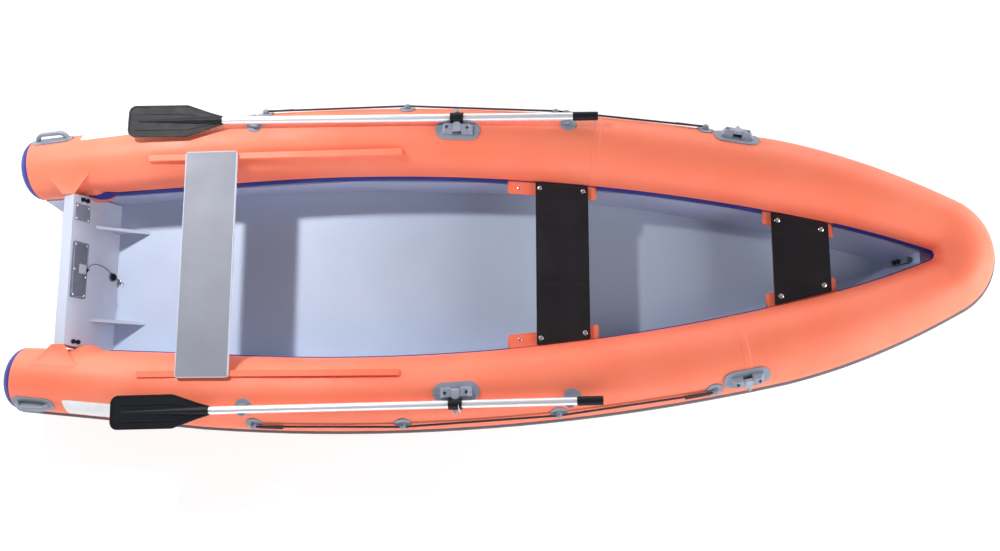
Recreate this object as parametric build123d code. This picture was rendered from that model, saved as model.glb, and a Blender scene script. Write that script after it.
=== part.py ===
"""Rigid inflatable boat with oars: V hull, inflated tubes, sliding bench, thwarts and rowlocks.

Frame: X to the bow, Y to port, Z up, origin amidships on the waterline, millimetres.
Port pieces are modelled and mirrored in the XZ plane to starboard.
"""
import os
from math import asin, atan, atan2, cos, degrees, hypot, pi, radians, sin, sqrt, tan

from build123d import *

os.makedirs("parts", exist_ok=True)

# Clearances
SEAT_GAP = 0.3            # between glued or resting pieces
PIN_GAP = 0.5             # round the trunnions of a rowlock
SLOT_GAP = 1.5            # each side of a rowlock finger in its slot
CLIP_GAP = 1.5            # each side of an oar shaft in its clip

# Tube axis in plan, port side: straight stern run, long side curve, bow curve, nose arc
STERN_END_X = -2190.0     # where the fabric ends and the end cap begins
WIDEST_X = -655.0         # station of the greatest beam
WIDEST_Y = 591.0          # half-beam of the axis there
SIDE_BEND = 9300.0        # radius of the side curve
STERN_SPLAY = 4.0         # degrees that the stern run closes in towards the stern
SIDE_TURN = 12.0          # degrees of inward heading where the side curve ends
BOW_BEND = 3280.0         # radius of the bow curve
BOW_TURN = 25.7           # degrees of inward heading where the nose arc begins
TUBE_Z = 236.0            # height of the axis
BOW_RISE = 20.0           # rise of the axis along the bow curve
TUBE_R = 167.5
STERN_R = 144.0
NOSE_R = 127.0
BOW_TAPER = 1.4           # power of the taper along the bow curve
CAP_DEPTH = 68.0          # bulge of the stern caps
BOW_SECTIONS = 5          # sections of the tapering bow curve

# Hull
FLOOR_Z = 35.0
KEEL_Z = -100.0
FLOOR_HALF = 417.0        # half-width of the cockpit floor at its widest
FLOOR_WIDEST_X = -700.0
FLOOR_BEND_AFT = 16000.0  # plan radii of the floor's edge
FLOOR_BEND_FORE = 8100.0
CHINE_FLARE = 104.0       # of the hull's outside beyond the floor's edge, at floor level
FLARE_END_X = 1990.0      # where the flare would die out
CHINE_DEPTH = 28.0        # turn of the chine below floor level
CHINE_INSET = 0.955       # share of the half-width at the lower chine
KEEL_RISE_X = 700.0       # where the keel begins to rise to the stem
STEM_FOOT_X = 1890.0      # where the stem leaves floor level
STEM_TOP_X = 2040.0
STEM_TOP_Z = 128.0
STEM_FOOT_WALL = 4.0      # of the hull under the floor's tip
INNER_STEM_X = (1872.0, 1938.0)   # foot and head of the stem inside the cockpit
INNER_STEM_TOP_Z = 208.0
STEM_FLAT = (26.0, 30.0, 140.0)   # filling of the stem's inner corner: wide, deep, tall
HULL_AFT_X = -2180.0      # aft end of the cradles under the tubes
FLANGE_ANGLE = 106.0      # degrees from the tube's top, inboard, of the cradle's lip
FLANGE_WALL = 6.0
CRADLE_REACH = 25.0       # how far the cradle passes outboard of the tube's lowest line
CRADLE_WALL = 5.0
CRADLE_HEART = 0.9        # depth of the section's inner corner, in tube radii
BOTTOM_STATIONS = (-2000.0, -1300.0, FLOOR_WIDEST_X, 0.0, KEEL_RISE_X, 1100.0, 1450.0, 1700.0, 1870.0)
SIDE_STATIONS = (-1300.0, WIDEST_X, 0.0, KEEL_RISE_X, 1100.0, 1450.0, 1700.0, *INNER_STEM_X)
# head of the stem, from its inside round the outside: half-width, above the stem's top
STEM_TIP = ((0.0, 45.0), (4.0, 50.0), (12.0, 50.0), (22.0, 40.0), (26.0, 6.0), (0.0, 0.0))

# Transom
TRANSOM_TOP_X = -1959.0   # inner edge of the top
TRANSOM_TOP_Z = 344.0
TRANSOM_RAKE = 16.0
TRANSOM_THICK = 58.0
TRANSOM_TOP_HALF = 356.0
TRANSOM_SHOULDER_Z = 240.0
KNEE_Y = 227.0
KNEE_THICK = 15.0
KNEE_FOOT = 157.0
KNEE_TOP_Z = 196.0
GUSSET_THICK = 4.0
GUSSET_FOOT = 60.0        # along the transom's top
GUSSET_HEAD = 205.0       # along the tube
GUSSET_SLOPE = 13.0
GUSSET_REACH = 92.0
GUSSET_SINK = 1.4         # cut length over the length that shows, before the web is fitted to the tube
GUSSET_GAP = 1.2
CUFF_X = -1900.0
CUFF_R = 110.0
CUFF_BULGE = 26.0         # beyond the tube's skin
CUFF_LIFT = -22.0         # above the tube's axis

# Trim along the tubes
STRAKE_ANGLE = 102.0      # degrees from the tube's top, outboard
STRAKE_TALL = 46.0
STRAKE_DEEP = 16.0
LIP_SPREAD = 24.0         # degrees of the tube that the inner lip tape covers
LIP_DEEP = 4.0
LIP_START_X = -1822.0
RAIL_Y = 504.0
RAIL_WIDE = 28.0
RAIL_TOP_Z = 402.0
RAIL_SINK = 40.0          # depth of the rail before it is fitted to the tube
RAIL_ENDS_X = (-1577.0, -381.0)

# Bench and thwarts
BENCH_X = (-1392.0, -1148.0)
BENCH_OVERHANG = 5.0      # bench's ends beyond the rails' outer edges
BENCH_HALF = RAIL_Y + RAIL_WIDE / 2 + BENCH_OVERHANG
BENCH_THICK = 15.0
BENCH_ROUND = 12.0
BENCH_GUIDE = (150.0, 18.0, 10.0)
BENCH_GUIDE_GAP = 2.0
BENCH_GUIDE_EDGE = 3.0
THWART_THICK = 15.0
THWART_TUBE_GAP = 6.0
THWART_ROUND = 5.0
TAB_THICK = 6.0
TAB_WIDE = 64.0
TAB_ROUND = 12.0
TAB_SINK = 40.0           # into the tube, before the tab is fitted to it
# name, aft edge, fore edge, top, tab beyond the aft edge, tab beyond the fore edge
THWARTS = (
    ("middle_thwart", 224.0, 465.0, 272.0, 130.0, 38.0),
    ("front_thwart", 1284.0, 1533.0, 268.0, 36.0, 22.0),
)

# Oars, stowed along the tubes
OAR_Y = 648.0             # at the mid rowlock
OAR_YAW = 1.1             # degrees that the stowed oar's blade stands outboard
OAR_Z = 422.0
OAR_TIP_X = -1676.0
OAR_END_X = 516.0
SHAFT_R = 17.5
GRIP_R = 20.0
GRIP_LONG = 113.0
GRIP_ROUND = 5.0
BLADE_LONG = 455.0
BLADE_THICK = 5.0
BLADE_ROUND = 36.0
BLADE_EDGE = (7.0, 10.0)  # width and thickness of the raised edge
# distance from the blade's tip and half-width of the plate, then of one side rib, then radius of the spine
BLADE_RIM = ((0.0, 76.0), (285.0, 76.0), (400.0, 36.0), (BLADE_LONG, 20.0))
BLADE_RIB = ((34.0, 32.0), (280.0, 32.0), (400.0, 8.0), (400.0, 18.0), (290.0, 44.0), (34.0, 44.0))
BLADE_SPINE = ((30.0, 0.0), (60.0, 5.0), (340.0, 16.0), (BLADE_LONG, 20.0), (BLADE_LONG, 0.0))
CLAMP_LONG = 60.0
CLAMP_R = 23.5

# Rowlocks
MID_LOCK_X = -124.0
MID_LOCK_ANGLE = 6.5
BOW_LOCK_X = 1112.0
BOW_LOCK_ANGLE = 46.0
LOCK_PAD = (205.0, 90.0, 6.0)
HOUSING_FOOT = (160.0, 52.0)
HOUSING_HEAD = (106.0, 34.0)
HOUSING_TALL = 36.0       # above the tube
HOUSING_SINK = 10.0       # into the tube, before the housing is fitted to it
HOUSING_RECESS = (47.0, 4.0, 9.0, 22.0)   # out from the middle, foot and head radius, foot height
FINGER_WIDE = 38.0
FINGER_THICK = 18.0
FINGER_PIN_R = 8.0
FINGER_NECK = (20.0, 17.0)            # wide and thick where the arm meets the pin
FINGER_SHOULDER = 0.72    # share of the arm that keeps its full width
FINGER_KNOB_R = 11.0
FINGER_KNOB_LONG = 18.0
FINGER_KNOB_ROUND = 4.0
BOW_PIN = 20.0            # bare end of a bow finger beyond its neck
TRUNNION_R = 4.5
TRUNNION_LONG = 6.0
HINGE_Y = 590.0
HINGE_Z = 430.0

# Clips and rope pads
PAD_R = 37.5
PAD_THICK = 5.0
CLIP_WALL = 9.0
CLIP_LONG = 30.0
CLIP_FLOOR = 8.0          # under the shaft
CLIP_HORN = 3.0           # above the shaft's centre
CLIP_STALK_R = 14.0
OAR_CLIPS_X = (-1076.0, 373.0)
ROPE_PADS_X = (-1041.0, -374.0, 307.0, 975.0)
ROPE_PAD_ANGLE = 58.0
ROPE_R = 4.5
ROPE_LIFT = 16.0          # rope's centre above the tube at its pads
ROPE_BEND = 600.0         # of the rope at its inner pads
ROPE_GAP = 1.2            # round the rope in its pads
KNOB_R = 15.0
KNOB_OVER = 10.0          # above the rope's centre
KNOB_ROUND = 12.0
CLIP_ROUND = 9.0

# Stern handles
HANDLE_X = -2085.0
HANDLE_ANGLE = 52.0
HANDLE_PAD = (205.0, 74.0, 5.0)
HANDLE_SPAN = 162.0
HANDLE_RISE = 41.0
HANDLE_BAR = (28.0, 16.0)
HANDLE_ROUND = 6.0

# Transom fittings
MOTOR_PAD = (268.0, 95.0, 8.0)
MOTOR_PAD_DROP = 62.0     # centre below the top edge, along the slope
MOTOR_PAD_ROUND = 10.0
SMALL_PLATE = (80.0, 92.0, 4.0)
SMALL_PLATE_ROUND = 4.0
SMALL_PLATE_PLACE = (276.0, 60.0)     # to port of the centreline, below the top edge
EYE_PLACE = (340.0, 70.0)
EYE_SPAN = 30.0
EYE_ROD_R = 4.0
EYE_STAND = 10.0          # straight part of the eye outside the board
EYE_CAP = (10.5, 9.0, 12.0)           # radius and height of a cap, width of the bridge between two
DRAIN_PLACE = (0.0, 285.0)
DRAIN_FLANGE = (23.0, 4.0)            # radius and thickness
DRAIN_SLEEVE_R = 15.0
PLUG_R = 17.0
PLUG_THICK = 9.0
PLUG_BAR = (26.0, 6.0, 8.0)
PLUG_TURN = 30.0
TAG = (44.0, 44.0, 3.0)
TAG_PLACE = (6.0, 76.0)
CORD_R = 1.5
CORD_EASE = 0.45          # share of the shorter leg that a bend takes up
# Lanyard of the drain plug, lying on the transom: to port, down the slope, off the face
CORD_ROUTE = (
    (9.0, 99.2, 9.8), (19.0, 112.5, 10.6), (32.0, 129.0, 7.4), (42.0, 150.0, 3.8), (47.0, 175.0, 2.4),
    (45.0, 201.0, 2.4), (39.0, 225.0, 2.9), (31.0, 246.0, 4.3), (22.0, 262.0, 6.4), (13.3, 273.6, 8.5),
)
BOW_EYE_UP = 67.0         # eye's middle, up the inner stem from its foot
BOW_EYE_WALL = 70.0       # hull between the filling and the outside, along the legs
VALVE_R = 26.0
VALVE_DEEP = 6.0
# station, degrees inboard from the tube's top
VALVES = ((-1270.0, 62.0),)

# Derived places
FROM_END = (Align.CENTER, Align.CENTER, Align.MIN)
OUTWARD = Rot(-90, 0, 0)  # turns a cylinder from the local z to the local y
SIDE_START_X = WIDEST_X - SIDE_BEND * sin(radians(STERN_SPLAY))
SIDE_START_Y = WIDEST_Y - SIDE_BEND * (1 - cos(radians(STERN_SPLAY)))
SIDE_END_X = WIDEST_X + SIDE_BEND * sin(radians(SIDE_TURN))
SIDE_END_Y = WIDEST_Y - SIDE_BEND * (1 - cos(radians(SIDE_TURN)))
BOW_LONG = BOW_BEND * (sin(radians(BOW_TURN)) - sin(radians(SIDE_TURN)))
BOW_END_X = SIDE_END_X + BOW_LONG
SIDE_CENTRE = (WIDEST_X, WIDEST_Y - SIDE_BEND, 0)
HULL_HALF = FLOOR_HALF + CHINE_FLARE


def heading_at(x):
    """Inward heading of the port axis, in degrees, at a station."""
    if x <= SIDE_START_X:
        return -STERN_SPLAY
    if x <= SIDE_END_X:
        return degrees(asin((x - WIDEST_X) / SIDE_BEND))
    return degrees(asin(sin(radians(SIDE_TURN)) + (x - SIDE_END_X) / BOW_BEND))


def axis_at(x):
    """Half-beam and height of the port axis, and the tube's radius, at a station."""
    if x <= SIDE_START_X:
        taper = (SIDE_START_X - x) / (SIDE_START_X - STERN_END_X)
        y = SIDE_START_Y - (SIDE_START_X - x) * tan(radians(STERN_SPLAY))
        return y, TUBE_Z, TUBE_R + taper * (STERN_R - TUBE_R)
    if x <= SIDE_END_X:
        return WIDEST_Y - SIDE_BEND * (1 - cos(radians(heading_at(x)))), TUBE_Z, TUBE_R
    along = (x - SIDE_END_X) / BOW_LONG
    y = SIDE_END_Y - BOW_BEND * (cos(radians(SIDE_TURN)) - cos(radians(heading_at(x))))
    return y, TUBE_Z + BOW_RISE * along ** 2, TUBE_R + along ** BOW_TAPER * (NOSE_R - TUBE_R)


def section_at(x):
    """Plane across the port tube: local x points outboard, local y up."""
    y, z, _ = axis_at(x)
    turn = radians(heading_at(x))
    climb = 0.0
    if x > SIDE_END_X:
        climb = 2 * BOW_RISE * (x - SIDE_END_X) / BOW_LONG ** 2
    forward = (cos(turn), -sin(turn), climb * cos(turn))
    return Plane(origin=(x, y, z), x_dir=(sin(turn), cos(turn), 0), z_dir=forward)


def seat_at(x, angle):
    """Plane on the port tube's skin: local x forward, local y outboard, local z away from it."""
    plane = section_at(x)
    radius = axis_at(x)[2]
    out = plane.x_dir * sin(radians(angle)) + plane.y_dir * cos(radians(angle))
    return Plane(origin=plane.origin + out * radius, x_dir=plane.z_dir, z_dir=out)


def stern_run(profile, x0=STERN_END_X, x1=SIDE_START_X):
    """A profile of the tube's radius carried along the straight stern run."""
    ends = [section_at(x) * profile(axis_at(x)[2]) for x in (x0, x1)]
    return loft(ends, ruled=True)


def side_run(profile, x0=SIDE_START_X, x1=SIDE_END_X):
    """The same along the side curve, as a body of revolution."""
    face = section_at(x0) * profile(TUBE_R)
    return revolve(face, Axis(SIDE_CENTRE, (0, 0, -1)), heading_at(x1) - heading_at(x0))


def bow_run(profile):
    """The same along the rising, tapering bow curve."""
    stations = [SIDE_END_X + BOW_LONG * i / (BOW_SECTIONS - 1) for i in range(BOW_SECTIONS)]
    return loft([section_at(x) * profile(axis_at(x)[2]) for x in stations])


def nose_run(profile):
    """The same round the nose, from the port bow curve to the starboard one."""
    y, z, _ = axis_at(BOW_END_X)
    climb = 2 * BOW_RISE / BOW_LONG
    turn = radians(BOW_TURN)
    in_plane = atan2(sin(turn), cos(turn) * sqrt(1 + climb ** 2))
    pitch = atan(climb)
    radius = y / cos(in_plane)
    back = radius * sin(in_plane)
    centre = (BOW_END_X - back * cos(pitch), 0, z - back * sin(pitch))
    axis = Axis(centre, (sin(pitch), 0, -cos(pitch)))
    return revolve(section_at(BOW_END_X) * profile(NOSE_R), axis, 2 * (90 - degrees(in_plane)))


def starboard(shape):
    """The starboard twin of a port piece."""
    return mirror(shape, about=Plane.XZ)


def side_tube(grow=0.0):
    """Port side chamber, grown all round by a clearance."""
    cone_long = (SIDE_START_X - STERN_END_X) / cos(radians(STERN_SPLAY))
    cone = Solid.make_cone(STERN_R + grow, TUBE_R + grow, cone_long, section_at(STERN_END_X))
    return Part() + cone + side_run(lambda r: Circle(r + grow))


def bow_tube(grow=0.0):
    """Bow chamber from side to side, grown all round by a clearance."""
    port_bow = bow_run(lambda r: Circle(r + grow))
    return Part() + port_bow + nose_run(lambda r: Circle(r + grow)) + starboard(port_bow)


def side_shell(x, long, deep):
    """Short length of skin of the side curve, from the seat gap out to a depth."""
    ring = lambda r: Circle(r + deep) - Circle(r + SEAT_GAP)
    return side_run(ring, x - long / 2, x + long / 2)


def pad_on_side(x, angle, outline, long, deep):
    """Pad of an outline that lies on the side curve's skin."""
    block = extrude(seat_at(x, angle) * outline, amount=TUBE_R / 2, both=True)
    return block & side_shell(x, 2 * long, deep)


def band(angle, tall, deep, crown):
    """Profile of a strip on the tube, centred at an angle from its top, with a crowned face."""
    def profile(r):
        half = degrees(tall / 2 / r)

        def at(radius, turn):
            return (radius * sin(radians(turn)), radius * cos(radians(turn)))

        inner = ThreePointArc(*[at(r + SEAT_GAP, angle + t) for t in (-half, 0, half)])
        outer = ThreePointArc(
            at(r + deep - crown, angle + half), at(r + deep, angle), at(r + deep - crown, angle - half)
        )
        return make_face([inner, Line(inner @ 1, outer @ 0), outer, Line(outer @ 1, inner @ 0)])
    return profile


def floor_half(x):
    """Half-width of the cockpit floor."""
    bend = FLOOR_BEND_AFT if x < FLOOR_WIDEST_X else FLOOR_BEND_FORE
    return max(0.0, FLOOR_HALF - bend + sqrt(bend ** 2 - (x - FLOOR_WIDEST_X) ** 2))


def chine_half(x):
    """Half-width of the hull's outside at floor level."""
    along = max(0.0, (x - FLOOR_WIDEST_X) / (FLARE_END_X - FLOOR_WIDEST_X))
    return floor_half(x) + CHINE_FLARE * (1 - along ** 2)


def keel_z(x):
    """Height of the keel, then of the stem's outside."""
    if x <= KEEL_RISE_X:
        return KEEL_Z
    if x <= STEM_FOOT_X:
        along = (x - KEEL_RISE_X) / (STEM_FOOT_X - KEEL_RISE_X)
        return KEEL_Z + (FLOOR_Z - STEM_FOOT_WALL - KEEL_Z) * along ** 2
    along = (x - STEM_FOOT_X) / (STEM_TOP_X - STEM_FOOT_X)
    return FLOOR_Z - STEM_FOOT_WALL + (STEM_TOP_Z - FLOOR_Z + STEM_FOOT_WALL) * along


def across(x):
    """Plane across the boat: local x to port, local y up."""
    return Plane(origin=(x, 0, 0), x_dir=(0, 1, 0), z_dir=(1, 0, 0))


def raked(lift=0.0):
    """Plane of the transom's inner face: local x to port, local y up the slope."""
    lean = radians(TRANSOM_RAKE)
    normal = Vector(cos(lean), 0, sin(lean))
    top = Vector(TRANSOM_TOP_X, 0, TRANSOM_TOP_Z)
    return Plane(origin=top + normal * lift, x_dir=(0, 1, 0), z_dir=normal)


def outside_face():
    """Plane of the transom's outer face, looking aft: local x to starboard."""
    plane = raked(-TRANSOM_THICK)
    return Plane(origin=plane.origin, x_dir=(0, -1, 0), z_dir=-plane.z_dir)


def slope_drop(z):
    """Distance down the transom's slope from its top edge to a height."""
    return (TRANSOM_TOP_Z - z) / cos(radians(TRANSOM_RAKE))


def hull_bottom():
    """V bottom with turned chines, solid up to the cockpit floor and cut off along the transom."""
    sections = []
    for x in BOTTOM_STATIONS:
        half = chine_half(x)
        depth = (FLOOR_Z - keel_z(x)) / (FLOOR_Z - KEEL_Z)
        low = FLOOR_Z - CHINE_DEPTH * depth
        rim = [(0, keel_z(x)), (half * CHINE_INSET, low), (half, FLOOR_Z)]
        left = [(-y, z) for y, z in reversed(rim[1:])]
        sections.append(across(x) * make_face(Polyline(*rim, *left, close=True)))
    body = loft(sections, ruled=True)
    beyond = extrude(outside_face() * Rectangle(4 * HULL_HALF, 4 * HULL_HALF), amount=HULL_HALF)
    return body - beyond


def cradle_section(x):
    """Side of the hull at a station: wall, lip under the tube and flange below it."""
    y, z, r = axis_at(x)
    wide = 1 / cos(radians(heading_at(x)))
    lip_y = y - (r + FLANGE_WALL) * sin(radians(FLANGE_ANGLE)) * wide
    lip_z = z + (r + FLANGE_WALL) * cos(radians(FLANGE_ANGLE))
    foot = (floor_half(x), FLOOR_Z)
    heel = (chine_half(x), FLOOR_Z)
    if x > INNER_STEM_X[0]:
        climb = (x - INNER_STEM_X[0]) / (INNER_STEM_X[1] - INNER_STEM_X[0])
        foot = (0, FLOOR_Z + (INNER_STEM_TOP_Z - FLOOR_Z) * climb)
    if x >= STEM_FOOT_X:
        heel = (0, keel_z(x))
    return [
        foot,
        (lip_y, lip_z),
        (y - r / 2, lip_z),
        (y, z - CRADLE_HEART * r),
        (y + CRADLE_REACH, z - r - CRADLE_WALL),
        heel,
    ]


def hull_side(tubes):
    """Port side of the hull, hollowed by the seats of the tubes."""
    stations = (HULL_AFT_X, TRANSOM_TOP_X, *SIDE_STATIONS)
    sections = [across(x) * make_face(Polyline(*cradle_section(x), close=True)) for x in stations]
    tip = [(y, STEM_TOP_Z + above) for y, above in STEM_TIP]
    sections.append(across(STEM_TOP_X) * make_face(Polyline(*tip, close=True)))
    side = loft(sections, ruled=True)
    for tube in tubes:
        side = side - tube
    return side


def transom():
    """Raked board between the hull's sides, standing on the floor."""
    half = floor_half(TRANSOM_TOP_X) - SEAT_GAP
    foot = slope_drop(FLOOR_Z) + 2 * TRANSOM_THICK
    shoulder = slope_drop(TRANSOM_SHOULDER_Z)
    rim = [(half, -foot), (half, -shoulder), (TRANSOM_TOP_HALF, 0)]
    left = [(-x, y) for x, y in reversed(rim)]
    board = extrude(raked() * make_face(Polyline(*rim, *left, close=True)), amount=-TRANSOM_THICK)
    below = Pos(TRANSOM_TOP_X, 0, FLOOR_Z) * Box(
        2 * HULL_HALF, 2 * HULL_HALF, HULL_HALF, align=(Align.CENTER, Align.CENTER, Align.MAX)
    )
    return board - below


def transom_knees():
    """Pair of triangular plates between the floor and the transom."""
    foot_x = TRANSOM_TOP_X + (TRANSOM_TOP_Z - FLOOR_Z) * tan(radians(TRANSOM_RAKE))
    head_x = TRANSOM_TOP_X + (TRANSOM_TOP_Z - KNEE_TOP_Z) * tan(radians(TRANSOM_RAKE))
    rim = [(foot_x, FLOOR_Z), (foot_x + KNEE_FOOT, FLOOR_Z), (head_x, KNEE_TOP_Z)]
    plate = extrude(Plane.XZ * make_face(Polyline(*rim, close=True)), amount=KNEE_THICK / 2, both=True)
    return Part() + [Pos(0, side * KNEE_Y, 0) * plate for side in (1, -1)]


def stern_cap():
    """Dome that closes the port tube at the stern."""
    arc = EllipticalCenterArc((0, 0), STERN_R, CAP_DEPTH, start_angle=270, arc_size=90)
    rim = make_face([arc, Line((STERN_R, 0), (0, 0)), Line((0, 0), (0, -CAP_DEPTH))])
    dome = revolve(Plane.XZ * rim, Axis.Z)
    return section_at(STERN_END_X).location * dome


def rub_strake():
    """Rubbing strake round the whole outside, in port, bow and starboard lengths."""
    profile = band(STRAKE_ANGLE, STRAKE_TALL, STRAKE_DEEP, STRAKE_DEEP / 3)
    port = Part() + stern_run(profile) + side_run(profile)
    port_bow = bow_run(profile)
    return port, Part() + port_bow + nose_run(profile) + starboard(port_bow)


def lip_tape():
    """Dark tape where the hull's lip meets the tubes, from the transom round the bow."""
    middle = -FLANGE_ANGLE + LIP_SPREAD / 2 + 1
    profile = lambda r: band(middle, radians(LIP_SPREAD) * r, LIP_DEEP, LIP_DEEP / 4)(r)
    port = Part() + stern_run(profile, LIP_START_X) + side_run(profile)
    port_bow = bow_run(profile)
    return port, Part() + port_bow + nose_run(profile) + starboard(port_bow)


def bench_rail(tube):
    """Slide rail along the top of the port tube."""
    aft, fore = RAIL_ENDS_X
    block = Pos((aft + fore) / 2, RAIL_Y, RAIL_TOP_Z) * Box(
        fore - aft, RAIL_WIDE, RAIL_SINK, align=(Align.CENTER, Align.CENTER, Align.MAX)
    )
    return block - tube


def bench():
    """Plank that slides along the rails."""
    aft, fore = BENCH_X
    plank = Pos((aft + fore) / 2, 0, RAIL_TOP_Z + SEAT_GAP) * Box(
        fore - aft, 2 * BENCH_HALF, BENCH_THICK, align=(Align.CENTER, Align.CENTER, Align.MIN)
    )
    return fillet(plank.edges().filter_by(Axis.Z), BENCH_ROUND)


def bench_guides():
    """Blocks under the bench that run inside the rails."""
    long, wide, tall = BENCH_GUIDE
    y = RAIL_Y - RAIL_WIDE / 2 - BENCH_GUIDE_GAP - wide / 2
    block = Box(long, wide, tall, align=(Align.CENTER, Align.CENTER, Align.MAX))
    block = chamfer(block.faces().sort_by(Axis.Z)[0].edges(), BENCH_GUIDE_EDGE)
    centre = sum(BENCH_X) / 2
    return Part() + [Pos(centre, side * y, RAIL_TOP_Z + SEAT_GAP) * block for side in (1, -1)]


def inner_half(x, z):
    """Half-width between the tubes at a station and height."""
    y, axis_z, r = axis_at(x)
    return y - sqrt(r ** 2 - (z - axis_z) ** 2) / cos(radians(heading_at(x)))


def thwart(aft, fore, top):
    """Plank between the tubes, tapered to follow them."""
    low = top - THWART_THICK
    ends = [(x, inner_half(x, (top + low) / 2) - THWART_TUBE_GAP) for x in (aft, fore)]
    rim = ends + [(x, -y) for x, y in reversed(ends)]
    plank = extrude(Plane.XY.offset(low) * make_face(Polyline(*rim, close=True)), amount=THWART_THICK)
    return fillet(plank.edges().filter_by(Axis.Z), THWART_ROUND)


def thwart_tabs(tubes):
    """Fabric tabs on the tubes, under the ends of the thwarts."""
    tabs = []
    for _, aft, fore, top, aft_reach, fore_reach in THWARTS:
        low = top - THWART_THICK - TAB_THICK
        x0, x1 = aft - aft_reach, fore + fore_reach
        inner = [(x, inner_half(x, low) - TAB_WIDE) for x in (x0, x1)]
        outer = [(x, inner_half(x, low) + TAB_SINK) for x in (x1, x0)]
        outline = make_face(Polyline(*inner, *outer, close=True))
        plate = extrude(Plane.XY.offset(low) * outline, amount=TAB_THICK)
        plate = fillet(plate.edges().filter_by(Axis.Z).sort_by(Axis.Y)[:2], TAB_ROUND)
        for tube in tubes:
            plate = plate - tube
        tabs += [plate, starboard(plate)]
    return Part() + tabs


def rowlock_base(x, angle, hinge):
    """Moulded pad with a slotted housing that carries the finger's trunnions."""
    long, wide, thick = LOCK_PAD
    plane = seat_at(x, angle)
    pad = pad_on_side(x, angle, SlotOverall(long, wide), long, thick)
    housing = loft([
        plane.offset(-HOUSING_SINK) * Rectangle(*HOUSING_FOOT),
        plane.offset(HOUSING_TALL) * Rectangle(*HOUSING_HEAD),
    ])
    out, foot_r, head_r, foot_z = HOUSING_RECESS
    recess = Pos(0, 0, foot_z) * Cone(foot_r, head_r, HOUSING_TALL - foot_z, align=FROM_END)
    for side in (1, -1):
        housing = housing - plane.location * Pos(side * out, 0, 0) * recess
    body = pad + (housing & side_shell(x, 2 * long, 2 * HOUSING_TALL))
    slot_wide = FINGER_WIDE + 2 * SLOT_GAP
    pin = hinge.location
    slot = pin * Box(slot_wide, 2 * FINGER_THICK, 4 * FINGER_THICK)
    way_out = pin * Box(
        slot_wide, wide, FINGER_THICK + 4 * SLOT_GAP, align=(Align.CENTER, Align.MIN, Align.CENTER)
    )
    above = pin * Pos(0, -FINGER_THICK, 0) * Box(
        slot_wide, wide, wide, align=(Align.CENTER, Align.MIN, Align.MIN)
    )
    bore_long = FINGER_WIDE + 2 * (TRUNNION_LONG + SLOT_GAP)
    bore = pin * Rot(0, 90, 0) * Cylinder(TRUNNION_R + PIN_GAP, bore_long)
    return body - ((slot + way_out + above + bore) - side_shell(x, 2 * long, thick))


def pin_reach():
    """Distance from a hinge to the oar's centre, along the finger."""
    return hypot(OAR_Y - HINGE_Y, OAR_Z - HINGE_Z)


def finger_root(pin_end):
    """Root of a finger on its trunnions, with its pin out to a distance from the hinge."""
    barrel = Rot(0, 90, 0) * Cylinder(FINGER_THICK / 2, FINGER_WIDE)
    trunnions = Rot(0, 90, 0) * Cylinder(TRUNNION_R, FINGER_WIDE + 2 * TRUNNION_LONG)
    neck = pin_reach() - CLAMP_R - SEAT_GAP
    arm = loft([
        Plane.XZ * Rectangle(FINGER_WIDE, FINGER_THICK),
        Plane.XZ.offset(-FINGER_SHOULDER * neck) * Rectangle(FINGER_WIDE, FINGER_THICK),
        Plane.XZ.offset(-neck) * Rectangle(*FINGER_NECK),
    ], ruled=True)
    start = neck - SEAT_GAP
    pin = Pos(0, start, 0) * OUTWARD * Cylinder(FINGER_PIN_R, pin_end - start, align=FROM_END)
    return barrel + trunnions + arm + pin


def rowlock_finger(hinge):
    """Finger that carries an oar: root, pin and end knob."""
    tip = pin_reach() + CLAMP_R + SEAT_GAP
    knob = Pos(0, tip, 0) * OUTWARD * Cylinder(FINGER_KNOB_R, FINGER_KNOB_LONG, align=FROM_END)
    knob = fillet(knob.edges(), FINGER_KNOB_ROUND)
    return hinge.location * (finger_root(tip + SEAT_GAP) + knob)


def bow_finger(hinge):
    """Bare finger of a spare rowlock."""
    return hinge.location * finger_root(pin_reach() - CLAMP_R + BOW_PIN)


def mid_hinge():
    """Frame of the mid rowlock's hinge: local x along the hinge, local y along the finger."""
    lean = atan2(HINGE_Z - OAR_Z, OAR_Y - HINGE_Y)
    place = (MID_LOCK_X, HINGE_Y, HINGE_Z)
    return Plane(origin=place, x_dir=(1, 0, 0), z_dir=(0, sin(lean), cos(lean)))


def bow_hinge():
    """The bow rowlock's hinge, placed on its pad as the mid one is."""
    mid_seat = seat_at(MID_LOCK_X, MID_LOCK_ANGLE)
    place = mid_seat.to_local_coords(Vector(MID_LOCK_X, HINGE_Y, HINGE_Z))
    seat = seat_at(BOW_LOCK_X, BOW_LOCK_ANGLE)
    origin = seat.from_local_coords(Vector(0, place.Y, place.Z))
    return Plane(origin=origin, x_dir=seat.x_dir, z_dir=seat.z_dir)


def oar_place(x):
    """Frame on the port oar's axis at a station: local x along the shaft to its grip, local z up."""
    y = OAR_Y - (x - MID_LOCK_X) * tan(radians(OAR_YAW))
    return Location((x, y, OAR_Z), (0, 0, -OAR_YAW))


def oar_rod(radius, from_x, to_x):
    """Round length of the oar between two stations."""
    long = (to_x - from_x) / cos(radians(OAR_YAW))
    return oar_place(from_x) * Rot(0, 90, 0) * Cylinder(radius, long, align=FROM_END)


def pin_bore(hinge):
    """Hole for the finger's pin through the oar and its clamp."""
    bore = Cylinder(FINGER_PIN_R + SEAT_GAP, 4 * CLAMP_R)
    return hinge.location * Pos(0, pin_reach(), 0) * OUTWARD * bore


def oar_shaft(hinge):
    """Straight tube from the blade's neck to the grip."""
    return oar_rod(SHAFT_R, OAR_TIP_X + BLADE_LONG, OAR_END_X - GRIP_LONG) - pin_bore(hinge)


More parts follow.
